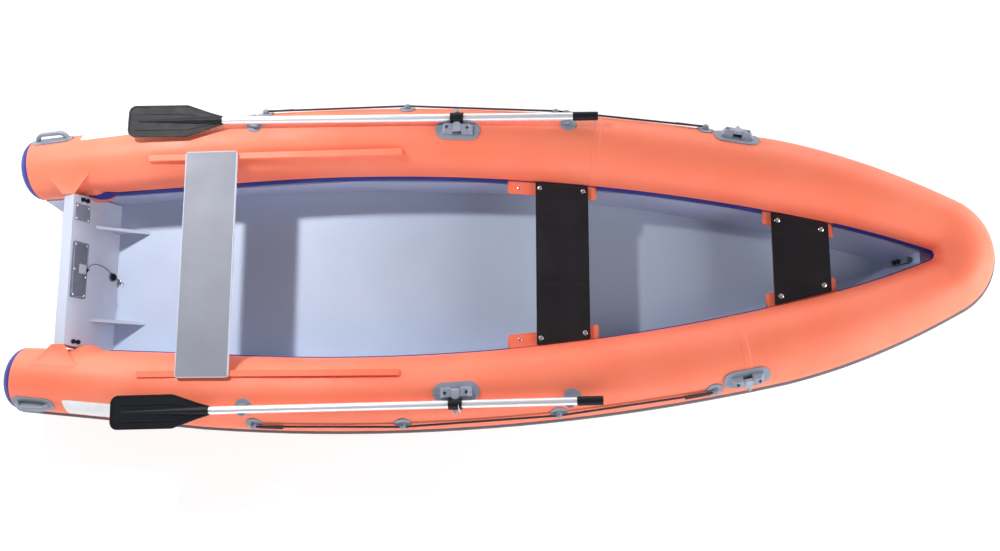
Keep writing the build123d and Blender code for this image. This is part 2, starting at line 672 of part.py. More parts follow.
def oar_grip():
    """Grip at the inboard end of the shaft."""
    return fillet(oar_rod(GRIP_R, OAR_END_X - GRIP_LONG, OAR_END_X).edges(), GRIP_ROUND)


def oar_clamp(hinge):
    """Clamp on the shaft that the finger's pin passes through."""
    ends = (MID_LOCK_X - CLAMP_LONG / 2, MID_LOCK_X + CLAMP_LONG / 2)
    return oar_rod(CLAMP_R, *ends) - oar_rod(SHAFT_R + SEAT_GAP, *ends) - pin_bore(hinge)


def oar_blade():
    """Blade with a raised edge, two side ribs and a spine that runs into a round neck."""
    left = [(x, -y) for x, y in reversed(BLADE_RIM)]
    outline = make_face(Polyline(*BLADE_RIM, *left, close=True))
    outline = fillet(outline.vertices().sort_by(Axis.X)[:4], BLADE_ROUND)
    edge_wide, edge_thick = BLADE_EDGE
    edge = extrude(outline - offset(outline, -edge_wide), amount=edge_thick / 2, both=True)
    plate = extrude(outline, amount=BLADE_THICK / 2, both=True)
    rib = extrude(make_face(Polyline(*BLADE_RIB, close=True)), amount=edge_thick / 2, both=True)
    spine = revolve(Plane.XY * make_face(Polyline(*BLADE_SPINE, close=True)), Axis.X)
    return oar_place(OAR_TIP_X) * (plate + edge + rib + starboard(rib) + spine)


def oar_clips():
    """Two forks on pads that hold the stowed oar's shaft."""
    clips = []
    for x in OAR_CLIPS_X:
        shaft = oar_place(x)
        y, z, _ = axis_at(x)
        angle = degrees(atan2(shaft.position.Y - y, OAR_Z - z))
        pad = pad_on_side(x, angle, Circle(PAD_R), 2 * PAD_R, PAD_THICK)
        wide = 2 * (SHAFT_R + CLIP_GAP + CLIP_WALL)
        low = SHAFT_R + CLIP_FLOOR
        fork = Box(CLIP_LONG, wide, low + CLIP_HORN, align=FROM_END)
        fork = shaft * Pos(0, 0, -low) * fillet(fork.edges().filter_by(Axis.Z), CLIP_ROUND)
        stalk = shaft * Pos(0, 0, -low) * Cylinder(
            CLIP_STALK_R, 2 * PAD_R, align=(Align.CENTER, Align.CENTER, Align.MAX)
        )
        cradle = shaft * Rot(0, 90, 0) * Cylinder(SHAFT_R + PIN_GAP, 2 * CLIP_LONG)
        slot = shaft * Box(2 * CLIP_LONG, 2 * (SHAFT_R + CLIP_GAP), 2 * PAD_R, align=FROM_END)
        clips.append(pad + ((fork + stalk - cradle - slot) & side_shell(x, 4 * PAD_R, 2 * PAD_R)))
    return Part() + clips


def rope_points():
    """Centres of the rope at its pads, port side."""
    return [seat_at(x, ROPE_PAD_ANGLE).offset(ROPE_LIFT).origin for x in ROPE_PADS_X]


def lifeline():
    """Grab rope from pad to pad along the tube's side."""
    points = rope_points()
    path = FilletPolyline(*points, radius=ROPE_BEND)
    start = Plane(origin=path @ 0, z_dir=path % 0)
    return sweep(start * Circle(ROPE_R), path)


def rope_pads():
    """Round pads with knobs that the grab rope passes through."""
    pads = []
    for x in ROPE_PADS_X:
        pad = pad_on_side(x, ROPE_PAD_ANGLE, Circle(PAD_R), 2 * PAD_R, PAD_THICK)
        seat = seat_at(x, ROPE_PAD_ANGLE)
        foot = PAD_THICK / 2
        knob = extrude(seat.offset(foot) * Circle(KNOB_R), amount=ROPE_LIFT + KNOB_OVER - foot)
        knob = fillet(knob.edges().sort_by(Axis(seat.origin, seat.z_dir))[-1:], KNOB_ROUND)
        line = Plane(origin=seat.offset(ROPE_LIFT).origin, z_dir=seat.x_dir)
        hole = extrude(line * Circle(ROPE_R + ROPE_GAP), amount=3 * KNOB_R, both=True)
        pads.append(pad + knob - hole)
    return Part() + pads


def stern_handle():
    """Carrying handle on a pad on the port stern cone."""
    long, wide, thick = HANDLE_PAD
    seat = seat_at(HANDLE_X, HANDLE_ANGLE)
    ends = (HANDLE_X - long, HANDLE_X + long)
    slant = 2 * long / cos(radians(STERN_SPLAY))

    def cone(grow):
        foot, head = [axis_at(x)[2] + grow for x in ends]
        return Solid.make_cone(foot, head, slant, section_at(ends[0]))

    block = extrude(seat * SlotOverall(long, wide), amount=wide, both=True)
    pad = (block & cone(thick)) - cone(SEAT_GAP)
    bar_wide, bar_thick = HANDLE_BAR
    arch = SlotOverall(HANDLE_SPAN, 2 * HANDLE_RISE) - SlotOverall(
        HANDLE_SPAN - 2 * bar_thick, 2 * (HANDLE_RISE - bar_thick)
    )
    upright = Plane(origin=seat.origin, x_dir=seat.x_dir, z_dir=-seat.y_dir)
    loop = extrude(upright * arch, amount=bar_wide / 2, both=True)
    loop = fillet(loop.edges(), HANDLE_ROUND)
    return pad + (loop - cone(SEAT_GAP))


def plate_on_transom(size, place, plane, round_off=10.0):
    """Flat plate on a face of the transom; place is to port and down the slope from the top edge."""
    wide, tall, thick = size
    across_slope, down = place
    sketch = Pos(across_slope, -down) * RectangleRounded(wide, tall, round_off)
    return extrude(plane * sketch, amount=thick)


def bolt_eye(frame, deep, stand):
    """U-shaped eye through a wall of a depth, with its legs spaced along the frame's x."""
    half = EYE_SPAN / 2
    root = frame.offset(-deep - stand)
    legs = [extrude(root * Pos(s * half, 0) * Circle(EYE_ROD_R), amount=deep + stand) for s in (1, -1)]
    start = root.from_local_coords(Vector(half, 0, 0))
    rod = Plane(origin=start, x_dir=root.x_dir, z_dir=root.z_dir)
    loop = revolve(rod * Circle(EYE_ROD_R), Axis(root.origin, root.y_dir), 180)
    return Part() + legs + loop


def eye_caps(frame):
    """Pair of caps over an eye's nuts, joined by a bridge."""
    radius, tall, bridge = EYE_CAP
    seat = frame.offset(SEAT_GAP)
    link = extrude(seat * Rectangle(EYE_SPAN, bridge), amount=tall / 2)
    caps = [extrude(seat * Pos(s * EYE_SPAN / 2, 0) * Circle(radius), amount=tall) for s in (1, -1)]
    return Part() + link + caps


def bolt_holes(frame, deep):
    """Clearance holes for the legs of an eye."""
    hole = Circle(EYE_ROD_R + SEAT_GAP)
    back = frame.offset(-2 * deep)
    return Part() + [extrude(back * Pos(s * EYE_SPAN / 2, 0) * hole, amount=3 * deep) for s in (1, -1)]


def transom_eye_frame():
    """Place of the port towing eye on the transom's inner face."""
    y, down = EYE_PLACE
    plane = raked()
    origin = plane.from_local_coords(Vector(y, -down, 0))
    return Plane(origin=origin, x_dir=plane.y_dir, z_dir=plane.z_dir)


def stem_plane(lift=0.0):
    """Plane along the inside of the stem: local x up the stem, local z aft into the cockpit."""
    foot, head = INNER_STEM_X
    up = Vector(head - foot, 0, INNER_STEM_TOP_Z - FLOOR_Z).normalized()
    aft = Vector(-up.Z, 0, up.X)
    return Plane(origin=Vector(foot, 0, FLOOR_Z) + aft * lift, x_dir=up, z_dir=aft)


def bow_eye_frame():
    """Place of the bow eye on the stem's filling."""
    plane = stem_plane(STEM_FLAT[1])
    origin = plane.from_local_coords(Vector(BOW_EYE_UP, 0, 0))
    return Plane(origin=origin, x_dir=plane.x_dir, z_dir=plane.z_dir)


def stem_filling(sides, tubes):
    """Flat that fills the sharp corner inside the stem."""
    wide, deep, long = STEM_FLAT
    block = stem_plane(deep).location * Box(
        2 * long, wide, 2 * deep, align=(Align.CENTER, Align.CENTER, Align.MAX)
    )
    above_floor = Pos(INNER_STEM_X[0], 0, FLOOR_Z) * Box(
        4 * long, 4 * wide, long, align=(Align.CENTER, Align.CENTER, Align.MIN)
    )
    block = block & above_floor
    for other in (*sides, *tubes):
        block = block - other
    return max(block.solids(), key=lambda solid: solid.volume)


def transom_gusset(tube):
    """Fabric web from the tube to the transom's top corner."""
    lean = radians(GUSSET_SLOPE)
    middle = TRANSOM_TOP_X - TRANSOM_THICK / cos(radians(TRANSOM_RAKE)) / 2
    plane = Plane(
        origin=(middle, TRANSOM_TOP_HALF + GUSSET_GAP, TRANSOM_TOP_Z), x_dir=(1, 0, 0),
        z_dir=(0, -sin(lean), cos(lean))
    )
    half = GUSSET_FOOT / 2
    spread = half + (GUSSET_HEAD - GUSSET_FOOT) / 2 * GUSSET_SINK
    reach = GUSSET_REACH * GUSSET_SINK
    rim = [(half, 0), (spread, reach), (-spread, reach), (-half, 0)]
    return extrude(plane * make_face(Polyline(*rim, close=True)), amount=-GUSSET_THICK) - tube


def transom_cuff(others):
    """Rounded fairing where the tube meets the transom, forward of the board."""
    y, z, r = axis_at(CUFF_X)
    ball = Pos(CUFF_X, y - (r + CUFF_BULGE - CUFF_R), z + CUFF_LIFT) * Sphere(CUFF_R)
    aft = extrude(raked(SEAT_GAP) * Rectangle(4 * HULL_HALF, 4 * HULL_HALF), amount=-HULL_HALF)
    lens = ball - aft
    for other in others:
        lens = lens - other
    return max(lens.solids(), key=lambda solid: solid.volume)


def drain_frame(lift=0.0):
    """Place of the drain on the transom's inner face."""
    plane = raked(lift)
    across_slope, down = DRAIN_PLACE
    return Plane(
        origin=plane.from_local_coords(Vector(across_slope, -down, 0)), x_dir=plane.x_dir, z_dir=plane.z_dir
    )


def drain_fitting():
    """Flanged sleeve through the transom."""
    radius, thick = DRAIN_FLANGE
    sleeve = extrude(drain_frame(-TRANSOM_THICK) * Circle(DRAIN_SLEEVE_R), amount=TRANSOM_THICK)
    flange = extrude(drain_frame() * Circle(radius), amount=thick)
    return sleeve + flange


def drain_plug():
    """Screw plug with a grip bar."""
    seat = drain_frame(DRAIN_FLANGE[1])
    long, wide, tall = PLUG_BAR
    disc = extrude(seat * Circle(PLUG_R), amount=PLUG_THICK)
    bar = extrude(seat.offset(PLUG_THICK) * Rot(0, 0, PLUG_TURN) * Rectangle(long, wide), amount=tall)
    return disc + bar


def lanyard():
    """Cord of the drain plug, from its tag to the plug."""
    plane = raked()
    points = [plane.from_local_coords(Vector(x, -down, off)) for x, down, off in CORD_ROUTE]
    bends = []
    for before, here, after in zip(points, points[1:], points[2:]):
        turn = radians((here - before).get_angle(after - here))
        shorter = min((here - before).length, (after - here).length)
        bends.append(CORD_EASE * shorter / tan(turn / 2))
    print("lanyard bend radii", [round(bend) for bend in bends])
    path = FilletPolyline(*points, radius=bends)
    start = Plane(origin=path @ 0, z_dir=path % 0)
    tube = sweep(start * Circle(CORD_R), path)
    print("lanyard volume", round(tube.volume), "section times length", round(pi * CORD_R ** 2 * path.length))
    return tube


def air_valves():
    """Inflation valves on the inboard faces of the side tubes."""
    valves = []
    for x, angle in VALVES:
        flange = pad_on_side(x, -angle, Circle(VALVE_R), 2 * VALVE_R, VALVE_DEEP)
        valves += [flange, starboard(flange)]
    return Part() + valves


def save(name, shape):
    """Write one piece."""
    export_step(shape, f"parts/{name}.step")


def save_both(name, shape):
    """Write a port piece and its starboard twin as one set."""
    save(name, Part() + [shape, starboard(shape)])


def save_pair(name, shape):
    """Write a port piece and its starboard twin."""
    save(f"{name}_port", shape)
    save(f"{name}_starboard", starboard(shape))


side_cut = side_tube(SEAT_GAP)
bow_cut = bow_tube(SEAT_GAP)
tube_cuts = (side_cut, starboard(side_cut), bow_cut)

save_pair("tube", side_tube())
save("tube_bow", bow_tube())
save_both("stern_caps", stern_cap())
strake_side, strake_bow = rub_strake()
save_pair("rub_strake", strake_side)
save("rub_strake_bow", strake_bow)
tape_side, tape_bow = lip_tape()
save("lip_tape", tape_side + tape_bow + starboard(tape_side))

bow_bolt = bow_eye_frame()
bow_bolt_deep = STEM_FLAT[1] + BOW_EYE_WALL
stem_holes = bolt_holes(bow_bolt, bow_bolt_deep)
cradle = hull_side((side_cut, bow_cut))
save("hull_bottom", hull_bottom())
save_pair("hull_side", cradle - stem_holes)
save("stem_filling", stem_filling((cradle, starboard(cradle)), tube_cuts) - stem_holes)
save("bow_eye", bolt_eye(bow_bolt, bow_bolt_deep, EYE_STAND))
save("bow_eye_caps", eye_caps(bow_bolt))

board = transom() - side_cut - starboard(side_cut)
eye_frame = transom_eye_frame()
eye_holes = bolt_holes(eye_frame, TRANSOM_THICK)
drain_bore = Circle(DRAIN_SLEEVE_R + SEAT_GAP)
drain_hole = extrude(drain_frame(TRANSOM_THICK) * drain_bore, amount=-3 * TRANSOM_THICK)
save("transom", board - eye_holes - starboard(eye_holes) - drain_hole)
save("transom_knees", transom_knees())
save_both("transom_eyes", bolt_eye(eye_frame, TRANSOM_THICK, EYE_STAND))
save_both("transom_eye_caps", eye_caps(eye_frame))
save_both("transom_gussets", transom_gusset(side_cut))
save_both("transom_cuffs", transom_cuff((side_cut, cradle, board)))
motor_place = (0, MOTOR_PAD_DROP)
save("motor_pad_inner", plate_on_transom(MOTOR_PAD, motor_place, raked(), MOTOR_PAD_ROUND))
save("motor_pad_outer", plate_on_transom(MOTOR_PAD, motor_place, outside_face(), MOTOR_PAD_ROUND))
save("small_plate", plate_on_transom(SMALL_PLATE, SMALL_PLATE_PLACE, raked(), SMALL_PLATE_ROUND))
save("drain_fitting", drain_fitting())
save("drain_plug", drain_plug())
save("lanyard_tag", plate_on_transom(TAG, TAG_PLACE, raked(MOTOR_PAD[2]), SMALL_PLATE_ROUND))
save("lanyard", lanyard())

save_both("bench_rails", bench_rail(side_cut))
save("bench", bench())
save("bench_guides", bench_guides())
for thwart_name, aft_x, fore_x, top_z, _, _ in THWARTS:
    save(thwart_name, thwart(aft_x, fore_x, top_z))
taped = LIP_DEEP + SEAT_GAP
save("thwart_tabs", thwart_tabs((side_tube(taped), bow_tube(taped))))

mid = mid_hinge()
bow = bow_hinge()
save_pair("rowlock_base", rowlock_base(MID_LOCK_X, MID_LOCK_ANGLE, mid))
save_pair("rowlock_finger", rowlock_finger(mid))
save_pair("bow_rowlock_base", rowlock_base(BOW_LOCK_X, BOW_LOCK_ANGLE, bow))
save_pair("bow_rowlock_finger", bow_finger(bow))
save_pair("oar_shaft", oar_shaft(mid))
save_pair("oar_blade", oar_blade())
save_pair("oar_grip", oar_grip())
save_pair("oar_clamp", oar_clamp(mid))
save_both("oar_clips", oar_clips())
save_pair("lifeline", lifeline())
save_pair("rope_pads", rope_pads())
save_both("stern_handles", stern_handle())
save("air_valves", air_valves())
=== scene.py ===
import math

import bpy
import numpy as np
from mathutils import Matrix, Vector


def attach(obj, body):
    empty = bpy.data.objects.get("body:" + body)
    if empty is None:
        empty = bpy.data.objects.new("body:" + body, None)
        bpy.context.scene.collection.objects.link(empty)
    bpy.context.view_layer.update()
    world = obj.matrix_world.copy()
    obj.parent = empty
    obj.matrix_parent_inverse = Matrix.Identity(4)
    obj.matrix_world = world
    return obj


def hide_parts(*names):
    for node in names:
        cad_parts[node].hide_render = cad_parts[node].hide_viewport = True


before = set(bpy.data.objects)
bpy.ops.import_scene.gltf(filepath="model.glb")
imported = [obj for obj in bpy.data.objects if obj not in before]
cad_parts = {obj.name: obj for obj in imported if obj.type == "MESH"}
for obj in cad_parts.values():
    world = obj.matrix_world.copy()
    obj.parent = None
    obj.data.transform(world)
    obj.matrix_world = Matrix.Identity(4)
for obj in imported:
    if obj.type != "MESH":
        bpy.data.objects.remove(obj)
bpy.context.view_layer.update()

bl_info = {
    "name": "Rigid Inflatable Boat",
    "version": (1, 0, 0),
    "blender": (4, 5, 0),
    "location": "View3D > Sidebar > Boat",
    "description": "Dresses a rigid inflatable rowing boat with its skins, ropes, fasteners and finishes",
    "category": "Object",
}

# Sides of the boat: name and sign of Y
SIDES = {"port": 1.0, "starboard": -1.0}
UP = (0.0, 0.0, 1.0)

# Run of the tubes, metres and degrees: the same values that the solids are built from
STERN_END_X = -2.190
WIDEST_X = -0.655
WIDEST_Y = 0.591
SIDE_BEND = 9.3
STERN_SPLAY = 4.0
SIDE_TURN = 12.0
BOW_BEND = 3.28
BOW_TURN = 25.7
TUBE_Z = 0.236
BOW_RISE = 0.020
TUBE_R = 0.1675
STERN_R = 0.144
NOSE_R = 0.127
BOW_TAPER = 1.4
CAP_DEPTH = 0.068
SIDE_START_X = WIDEST_X - SIDE_BEND * math.sin(math.radians(STERN_SPLAY))
SIDE_START_Y = WIDEST_Y - SIDE_BEND * (1 - math.cos(math.radians(STERN_SPLAY)))
SIDE_END_X = WIDEST_X + SIDE_BEND * math.sin(math.radians(SIDE_TURN))
SIDE_END_Y = WIDEST_Y - SIDE_BEND * (1 - math.cos(math.radians(SIDE_TURN)))
BOW_LONG = BOW_BEND * (math.sin(math.radians(BOW_TURN)) - math.sin(math.radians(SIDE_TURN)))
BOW_END_X = SIDE_END_X + BOW_LONG

# Skins of the tubes: columns round a tube, rows round the nose, gap between two chambers
SKIN_COLUMNS = 96
NOSE_ROWS = 64
CHAMBER_GAP = 0.0001
# Puckers at a glued joint: height, reach along the tube, then waves round it as count, phase and share
PUCKER_TALL = 0.0005
PUCKER_REACH = 0.045
PUCKER_WAVES = ((17, 1.3, 1.0), (29, 0.4, 0.6), (43, 2.1, 0.4))
# Tuck over the nose: depth, half-width, degrees inboard from the tube's top
NOSE_TUCK = (0.0030, 0.016, 48.0)
# Ripples: side, station, degrees outboard, height, reach along, degrees of reach round
RIPPLES = ((1.0, 0.966, -38.0, 0.0009, 0.022, 26.0), (-1.0, 0.700, -36.0, 0.0010, 0.020, 30.0))
RIPPLE_WAVE = 0.021

# Stern caps: radians from rim to crown, then the gathers' count, depth, and place and reach in radians
CAP_TURN = (0.004, math.pi / 2 - 0.02)
CAP_GATHERS = (30, 0.0035, 0.22, 0.16)
CAP_ROWS = 40
CAP_COLUMNS = 120

# Lip tape: degrees of its edges from the tube's top, depth, sink, spacing of its rings and rings at the nose
LIP_ANGLE = (-105.0, -81.0)
LIP_DEEP = 0.004
LIP_SINK = 0.0006
LIP_STEP = 0.012
LIP_NOSE_ROWS = 40
# Its section from edge to edge: share of the width, share of the depth
LIP_SECTION = (
    (0.0, 0.1), (0.02, 0.75), (0.1, 0.95), (0.3, 1.0), (0.5, 1.0),
    (0.7, 1.0), (0.9, 0.95), (0.98, 0.75), (1.0, 0.1),
)
# Its ends: rings over which it narrows, and the narrowest share
LIP_NARROWS = (8.0, 0.15)
# Its port end: tip, where it starts to climb over the cuff, degrees of the climb
LIP_TIP_X = -1.935
LIP_LEAVES_X = -1.800
LIP_TURN = 15.0

# Transom's inner face: top edge, rake, the ways down its slope and off it
TRANSOM_TOP = np.array((-1.959, 0.0, 0.344))
TRANSOM_RAKE = math.radians(16.0)
TRANSOM_DOWN = np.array((math.sin(TRANSOM_RAKE), 0.0, -math.cos(TRANSOM_RAKE)))
TRANSOM_OFF = np.array((math.cos(TRANSOM_RAKE), 0.0, math.sin(TRANSOM_RAKE)))

# Webs from the tubes to the transom's top corners: middle of the foot, half-lengths of foot and head
WEB_FOOT = (-1.98917, 0.3572, 0.344)
WEB_HALF = (0.030, 0.1025)
WEB_ANGLE = -31.0
WEB_THICK = 0.003
# Share by which the sides pull in, sag of the middle, size of the cut cloth
WEB_WAIST = 0.04
WEB_SAG = 0.007
# Lap glued to the tube: length, height over the skin, thickness
WEB_LAP = 0.022
LAP_LIFT = 0.0012
LAP_THICK = 0.0018
WEB_ROWS = 17
WEB_COLUMNS = 25
LAP_ROWS = 7

# Cuffs at the transom: station, height over the tube's axis, radius, bulge beyond the skin
CUFF = (-1.900, -0.022, 0.110, 0.026)
# Radians from the crown of a cuff to its edge, rows and columns of its skin
CUFF_TURN = (0.02, math.radians(60.0))
CUFF_ROWS = 36
CUFF_COLUMNS = 72
# Folds round a cuff: count, phase, share of the radius
CUFF_FOLDS = (9, 0.7, 0.006)

# Tabs under the thwarts: ends along X, height of the top face
TABS = ((0.094, 0.503, 0.257), (1.248, 1.555, 0.253))
TAB_WIDE = 0.064
TAB_THICK = 0.006
TAB_ROUND = 0.012
# Stations across the tab's flat, and how far its hem is rounded at each, as shares of width and thickness
TAB_FLAT = (0.0, 0.015, 0.25, 0.5, 0.75, 0.97)
TAB_HEM = (0.3, 0.06, 0.0, 0.0, 0.0, 0.0)
# Lap up the tube: foot and head over the top face, faces outside and inside the skin, the bend's gap to it
TAB_LAP = (0.0015, 0.014)
TAB_LAP_OUT = 0.0012
TAB_LAP_IN = 0.0010
TAB_BEND = 0.0025
TAB_ROWS = 41
TAB_LAP_ROWS = 6

# Seam tapes: station on each side, degrees of the ends, section as shares of width and height, sink
SEAM_X = {"port": 0.505, "starboard": 1.125}
SEAM_ANGLE = (-93.0, 92.0)
SEAM_SECTION = ((-0.5, -0.4), (-0.47, 0.7), (-0.3, 1.0), (0.3, 1.0), (0.47, 0.7), (0.5, -0.4))
SEAM_SINK = 0.0008
SEAM_ROWS = 72

# Decals: ends along X, degrees outboard from the tube's top, power of the rounded outline, sink of the rim
DECAL_X = (-1.937, -1.679)
DECAL_ANGLE = (37.0, 78.0)
DECAL_POWER = 16.0
DECAL_SINK = 0.0006
DECAL_COLUMNS = 96
# Rings over the sunk rim, from edge to middle: share of the size, share of the height
DECAL_RINGS = ((1.0, 0.6), (0.97, 1.0), (0.75, 1.0), (0.5, 1.0), (0.25, 1.0), (0.02, 1.0))

# Rope pads: station, degrees outboard from the tube's top, height of the rope over the skin
ROPE_PADS_X = (-1.041, -0.374, 0.307, 0.975)
ROPE_PAD_ANGLE = 58.0
ROPE_LIFT = 0.016
ROPE_ROWS = 760
# Strands: offset of the centre and radius as shares of the rope's, sides of a strand
STRAND = (0.464, 0.536)
STRAND_SIDES = 10
# Spliced tails: start beyond the pad, step round the tube in rope radii, how much lower they lie, rows
TAIL_START = 0.02
TAIL_STEP = 2.0
TAIL_LOWER = 0.004
TAIL_ROWS = 60

# Lanyard of the drain plug on the transom's face: to port, down the slope, off the face
CORD_ROUTE = (
    (0.0090, 0.0992, 0.0098), (0.0190, 0.1125, 0.0106), (0.0320, 0.1290, 0.0074), (0.0420, 0.1500, 0.0038),
    (0.0470, 0.1750, 0.0024), (0.0450, 0.2010, 0.0024), (0.0390, 0.2250, 0.0029), (0.0310, 0.2460, 0.0043),
    (0.0220, 0.2620, 0.0064), (0.0133, 0.2736, 0.0085),
)
CORD_THICK = 0.003
# Knot at its tag, placed likewise: size of the twist, radius of the cord in it
KNOT_PLACE = (0.0040, 0.1030, 0.0140)
KNOT_SIZE = 0.0026
KNOT_WIRE = 0.0019

# Screws on level faces: station, half-beam (both sides), height of the face
THWART_SCREWS = ((0.243, 0.348, 0.272), (0.442, 0.327, 0.272), (1.312, 0.173, 0.268), (1.501, 0.1265, 0.268))
TAB_SCREW = (0.146, 0.353, 0.257)
# Screws on the transom's face: to port, down the slope, off the face
PAD_SCREWS = (
    (-0.120, 0.027, 0.008), (0.0, 0.027, 0.008), (0.120, 0.027, 0.008),
    (-0.120, 0.097, 0.008), (-0.030, 0.100, 0.008), (0.120, 0.097, 0.008),
)
PLATE_SCREWS = (
    (0.245, 0.023, 0.004), (0.307, 0.023, 0.004), (0.245, 0.097, 0.004), (0.307, 0.097, 0.004),
)
# Turns of the heads, radians: on the tabs, and per metre of place on the thwarts and on the transom
TAB_SPIN = 0.4
THWART_SPIN = 1.7
PLATE_SPIN = 9.0
# Rowlock housings: station and degrees outboard, then out from the middle and height of a screw recess
ROWLOCKS = ((-0.124, 6.5), (1.112, 46.0))
RECESS = (0.047, 0.0225)
# Pan head, in its radius: rings from rim to middle, height of the crown, how flat it is; then its sink, its
# columns, and a way that no head faces, which its columns start from
HEAD_RINGS = np.array((1.0, 1.0, 0.97, 0.88, 0.74, 0.6, 0.48, 0.38, 0.3, 0.22, 0.14, 0.06))
HEAD_CROWN = 0.42
HEAD_FLAT = 0.8
HEAD_SINK = 0.0005
HEAD_COLUMNS = 32
HEAD_ASIDE = (0.31, 0.87, 0.38)
# Cross recess: half-width of an arm, reach, depth
CROSS = (0.13, 0.52, 0.2)

# Wire loops: points round a ring or knot, sides of the wire
LOOP_ROWS = 64
WIRE_SIDES = 10

# Split ring at the starboard rowlock: centre, the way it faces, radius, radius of its wire
RING_PLACE = (-0.0985, -0.6600, 0.4230)
RING_FACES = (0.93, 0.10, 0.35)
RING_R = 0.024
RING_WIRE = 0.0014

# Snap hook by the drain: centre, the ways along and across it, half-length and half-width, radius of its wire
HOOK_PLACE = np.array((-1.8520, -0.0230, 0.0375))
HOOK_ALONG = np.array((0.80, -0.60, 0.0))
HOOK_ACROSS = np.array((0.60, 0.80, 0.0))
HOOK_HALF = (0.019, 0.008)
HOOK_WIRE = 0.0023
HOOK_ROWS = 96
# Its eye: how far back, radius, radius of its wire
EYE_BACK = 0.024
EYE_R = 0.006
EYE_WIRE = 0.0016

# Rim of the motor pad on the transom: half-width, half-height, corner, down the slope, off the face, wire
PAD_RIM = (0.1300, 0.0435, 0.010)
PAD_RIM_PLACE = (0.0, 0.062, 0.0080)
PAD_RIM_WIRE = 0.0028
PAD_RIM_ROWS = 160

# Bench at rest: middle along X, half-length and half-beam, and where the painted highlight along its edges
# begins and is full
BENCH_MIDDLE_X = -1.270
BENCH_HALF = (0.122, 0.523)
BENCH_EDGE_HIGHLIGHT = (0.0045, 0.0025)

# Camera: place, and its tilt about X, Y and Z in radians
CAMERA_PLACE = (0.4612, -0.8536, 4.8210)
CAMERA_TILT = (-0.173, -0.087, 0.017)
SENSOR_WIDE = 36.0
# Lamps: place, what it faces, side of the lamp, degrees of its beam
LAMPS = {
    "key": ((-2.7, 2.15, 3.5), (-1.2, 0.0, 0.2), 0.3, 76.0),
    "fill": ((4.6, -0.9, 2.3), (1.0, 0.0, 0.2), 2.2, 180.0),
}
# Sky: tint, and the sine of the elevation at which the light from the sides has died out
SKY_TINT = (0.97, 0.98, 1.0, 1.0)
SKY_BAND = 0.5
# Floor: half-length, grey of its paint, its glow to the camera and in reflections
FLOOR_HALF = 14.0
FLOOR_GREY = 0.46
FLOOR_GLOW = 0.77


def srgb(red, green, blue):
    """Linear colour of a display colour given in 0 to 255: the piecewise power curve of the display."""
    shown = np.array((red, green, blue)) / 255.0
    low = shown / 12.92
    high = ((shown + 0.055) / 1.055) ** 2.4
    return tuple(float(v) for v in np.where(shown <= 0.04045, low, high))


def colour(label, words, value):
    """Colour property with its default as a display colour."""
    return bpy.props.FloatVectorProperty(
        name=label, description=words, subtype="COLOR", size=3, min=0.0, max=1.0, default=srgb(*value)
    )


def number(label, words, value, unit="NONE"):
    """Number property from nought up."""
    return bpy.props.FloatProperty(name=label, description=words, default=value, min=0.0, unit=unit)


def length(label, words, value):
    """Length property in metres."""
    return number(label, words, value, "LENGTH")


class BoatSizes(bpy.types.PropertyGroup):
    """Sizes of the pieces that dress the boat."""
    skin_step: length("Skin step", "Spacing of the tube skin's rings", 0.008)
    seam_width: length("Seam width", "Width of the tapes over the tubes' seams", 0.034)
    seam_height: length("Seam height", "Height of a seam tape above the skin", 0.0008)
    decal_height: length("Decal height", "Height of a decal patch above the skin", 0.0009)
    rope_radius: length("Rope radius", "Outside radius of the grab rope", 0.0054)
    rope_lay: length("Rope lay", "Length of one turn of a rope strand", 0.034)
    rope_tail: length("Rope tail", "Length of rope spliced back at each end", 0.11)
    thwart_screw: length("Thwart screw", "Radius of the screw heads on the thwarts", 0.0105)
    tab_screw: length("Tab screw", "Radius of the screw heads on the tabs", 0.008)
    plate_screw: length("Plate screw", "Radius of the screw heads on the transom's plates", 0.0055)
    rowlock_screw: length("Rowlock screw", "Radius of the screw heads in the rowlocks' recesses", 0.0042)


class BoatColours(bpy.types.PropertyGroup):
    """Colours of the boat's finishes."""
    orange: colour("Orange", "Coated fabric of the tubes", (255, 135, 104))
    orange_deep: colour("Deep orange", "Darker patches of the tubes' fabric", (255, 127, 95))
    blue: colour("Blue", "Stern caps and lip tape", (40, 44, 142))
    strake: colour("Strake", "Rubbing strake", (122, 128, 138))
    floor: colour("Floor", "Cockpit floor", (197, 211, 234))
    wall: colour("Wall", "Cockpit walls", (188, 199, 228))
    # The stem's dark tone is painted shade of the deep, narrow bow
    stem: colour("Stem", "Filling of the inner stem", (112, 119, 132))
    transom: colour("Transom", "Transom board and knees", (198, 205, 222))
    fitting: colour("Fitting", "Moulded fittings on the tubes", (142, 149, 165))
    finger: colour("Finger", "Rowlock fingers", (160, 166, 180))
    blade: colour("Blade", "Oar blades, grips and clamps", (30, 31, 35))
    bench: colour("Bench", "Sliding bench", (139, 142, 153))
    ply: colour("Ply", "Film face of the thwarts", (40, 37, 41))
    ply_edge: colour("Ply edge", "Cut edges of the thwarts", (112, 78, 58))
    shaft: colour("Shaft", "Anodised oar shafts", (232, 233, 239))
    steel: colour("Steel", "Screws, eyes, ring and hook", (226, 228, 233))
    rope: colour("Rope", "Grab ropes", (58, 60, 68))
    decal: colour("Decal", "Blank decal patches", (240, 241, 243))
    tag: colour("Tag", "Clear tag of the lanyard", (184, 190, 200))
    plate: colour("Plate", "Small plate and rims on the transom", (130, 137, 150))
    pad: colour("Pad", "Motor pads", (104, 111, 124))


class BoatStage(bpy.types.PropertyGroup):
    """Camera and light."""
    focal: number("Focal length", "Camera's lens in millimetres", 36.56, "CAMERA")
    key: number("Key", "Power of the lamp over the stern in watts", 29.0, "POWER")
    fill: number("Fill", "Power of the soft box off the bow in watts", 105.0, "POWER")
    horizon: number("Horizon", "Strength of the light from the sides", 4.9)
    zenith: number("Zenith", "Strength of the light from above", 0.1)


def sizes():
    return bpy.context.scene.boat_sizes


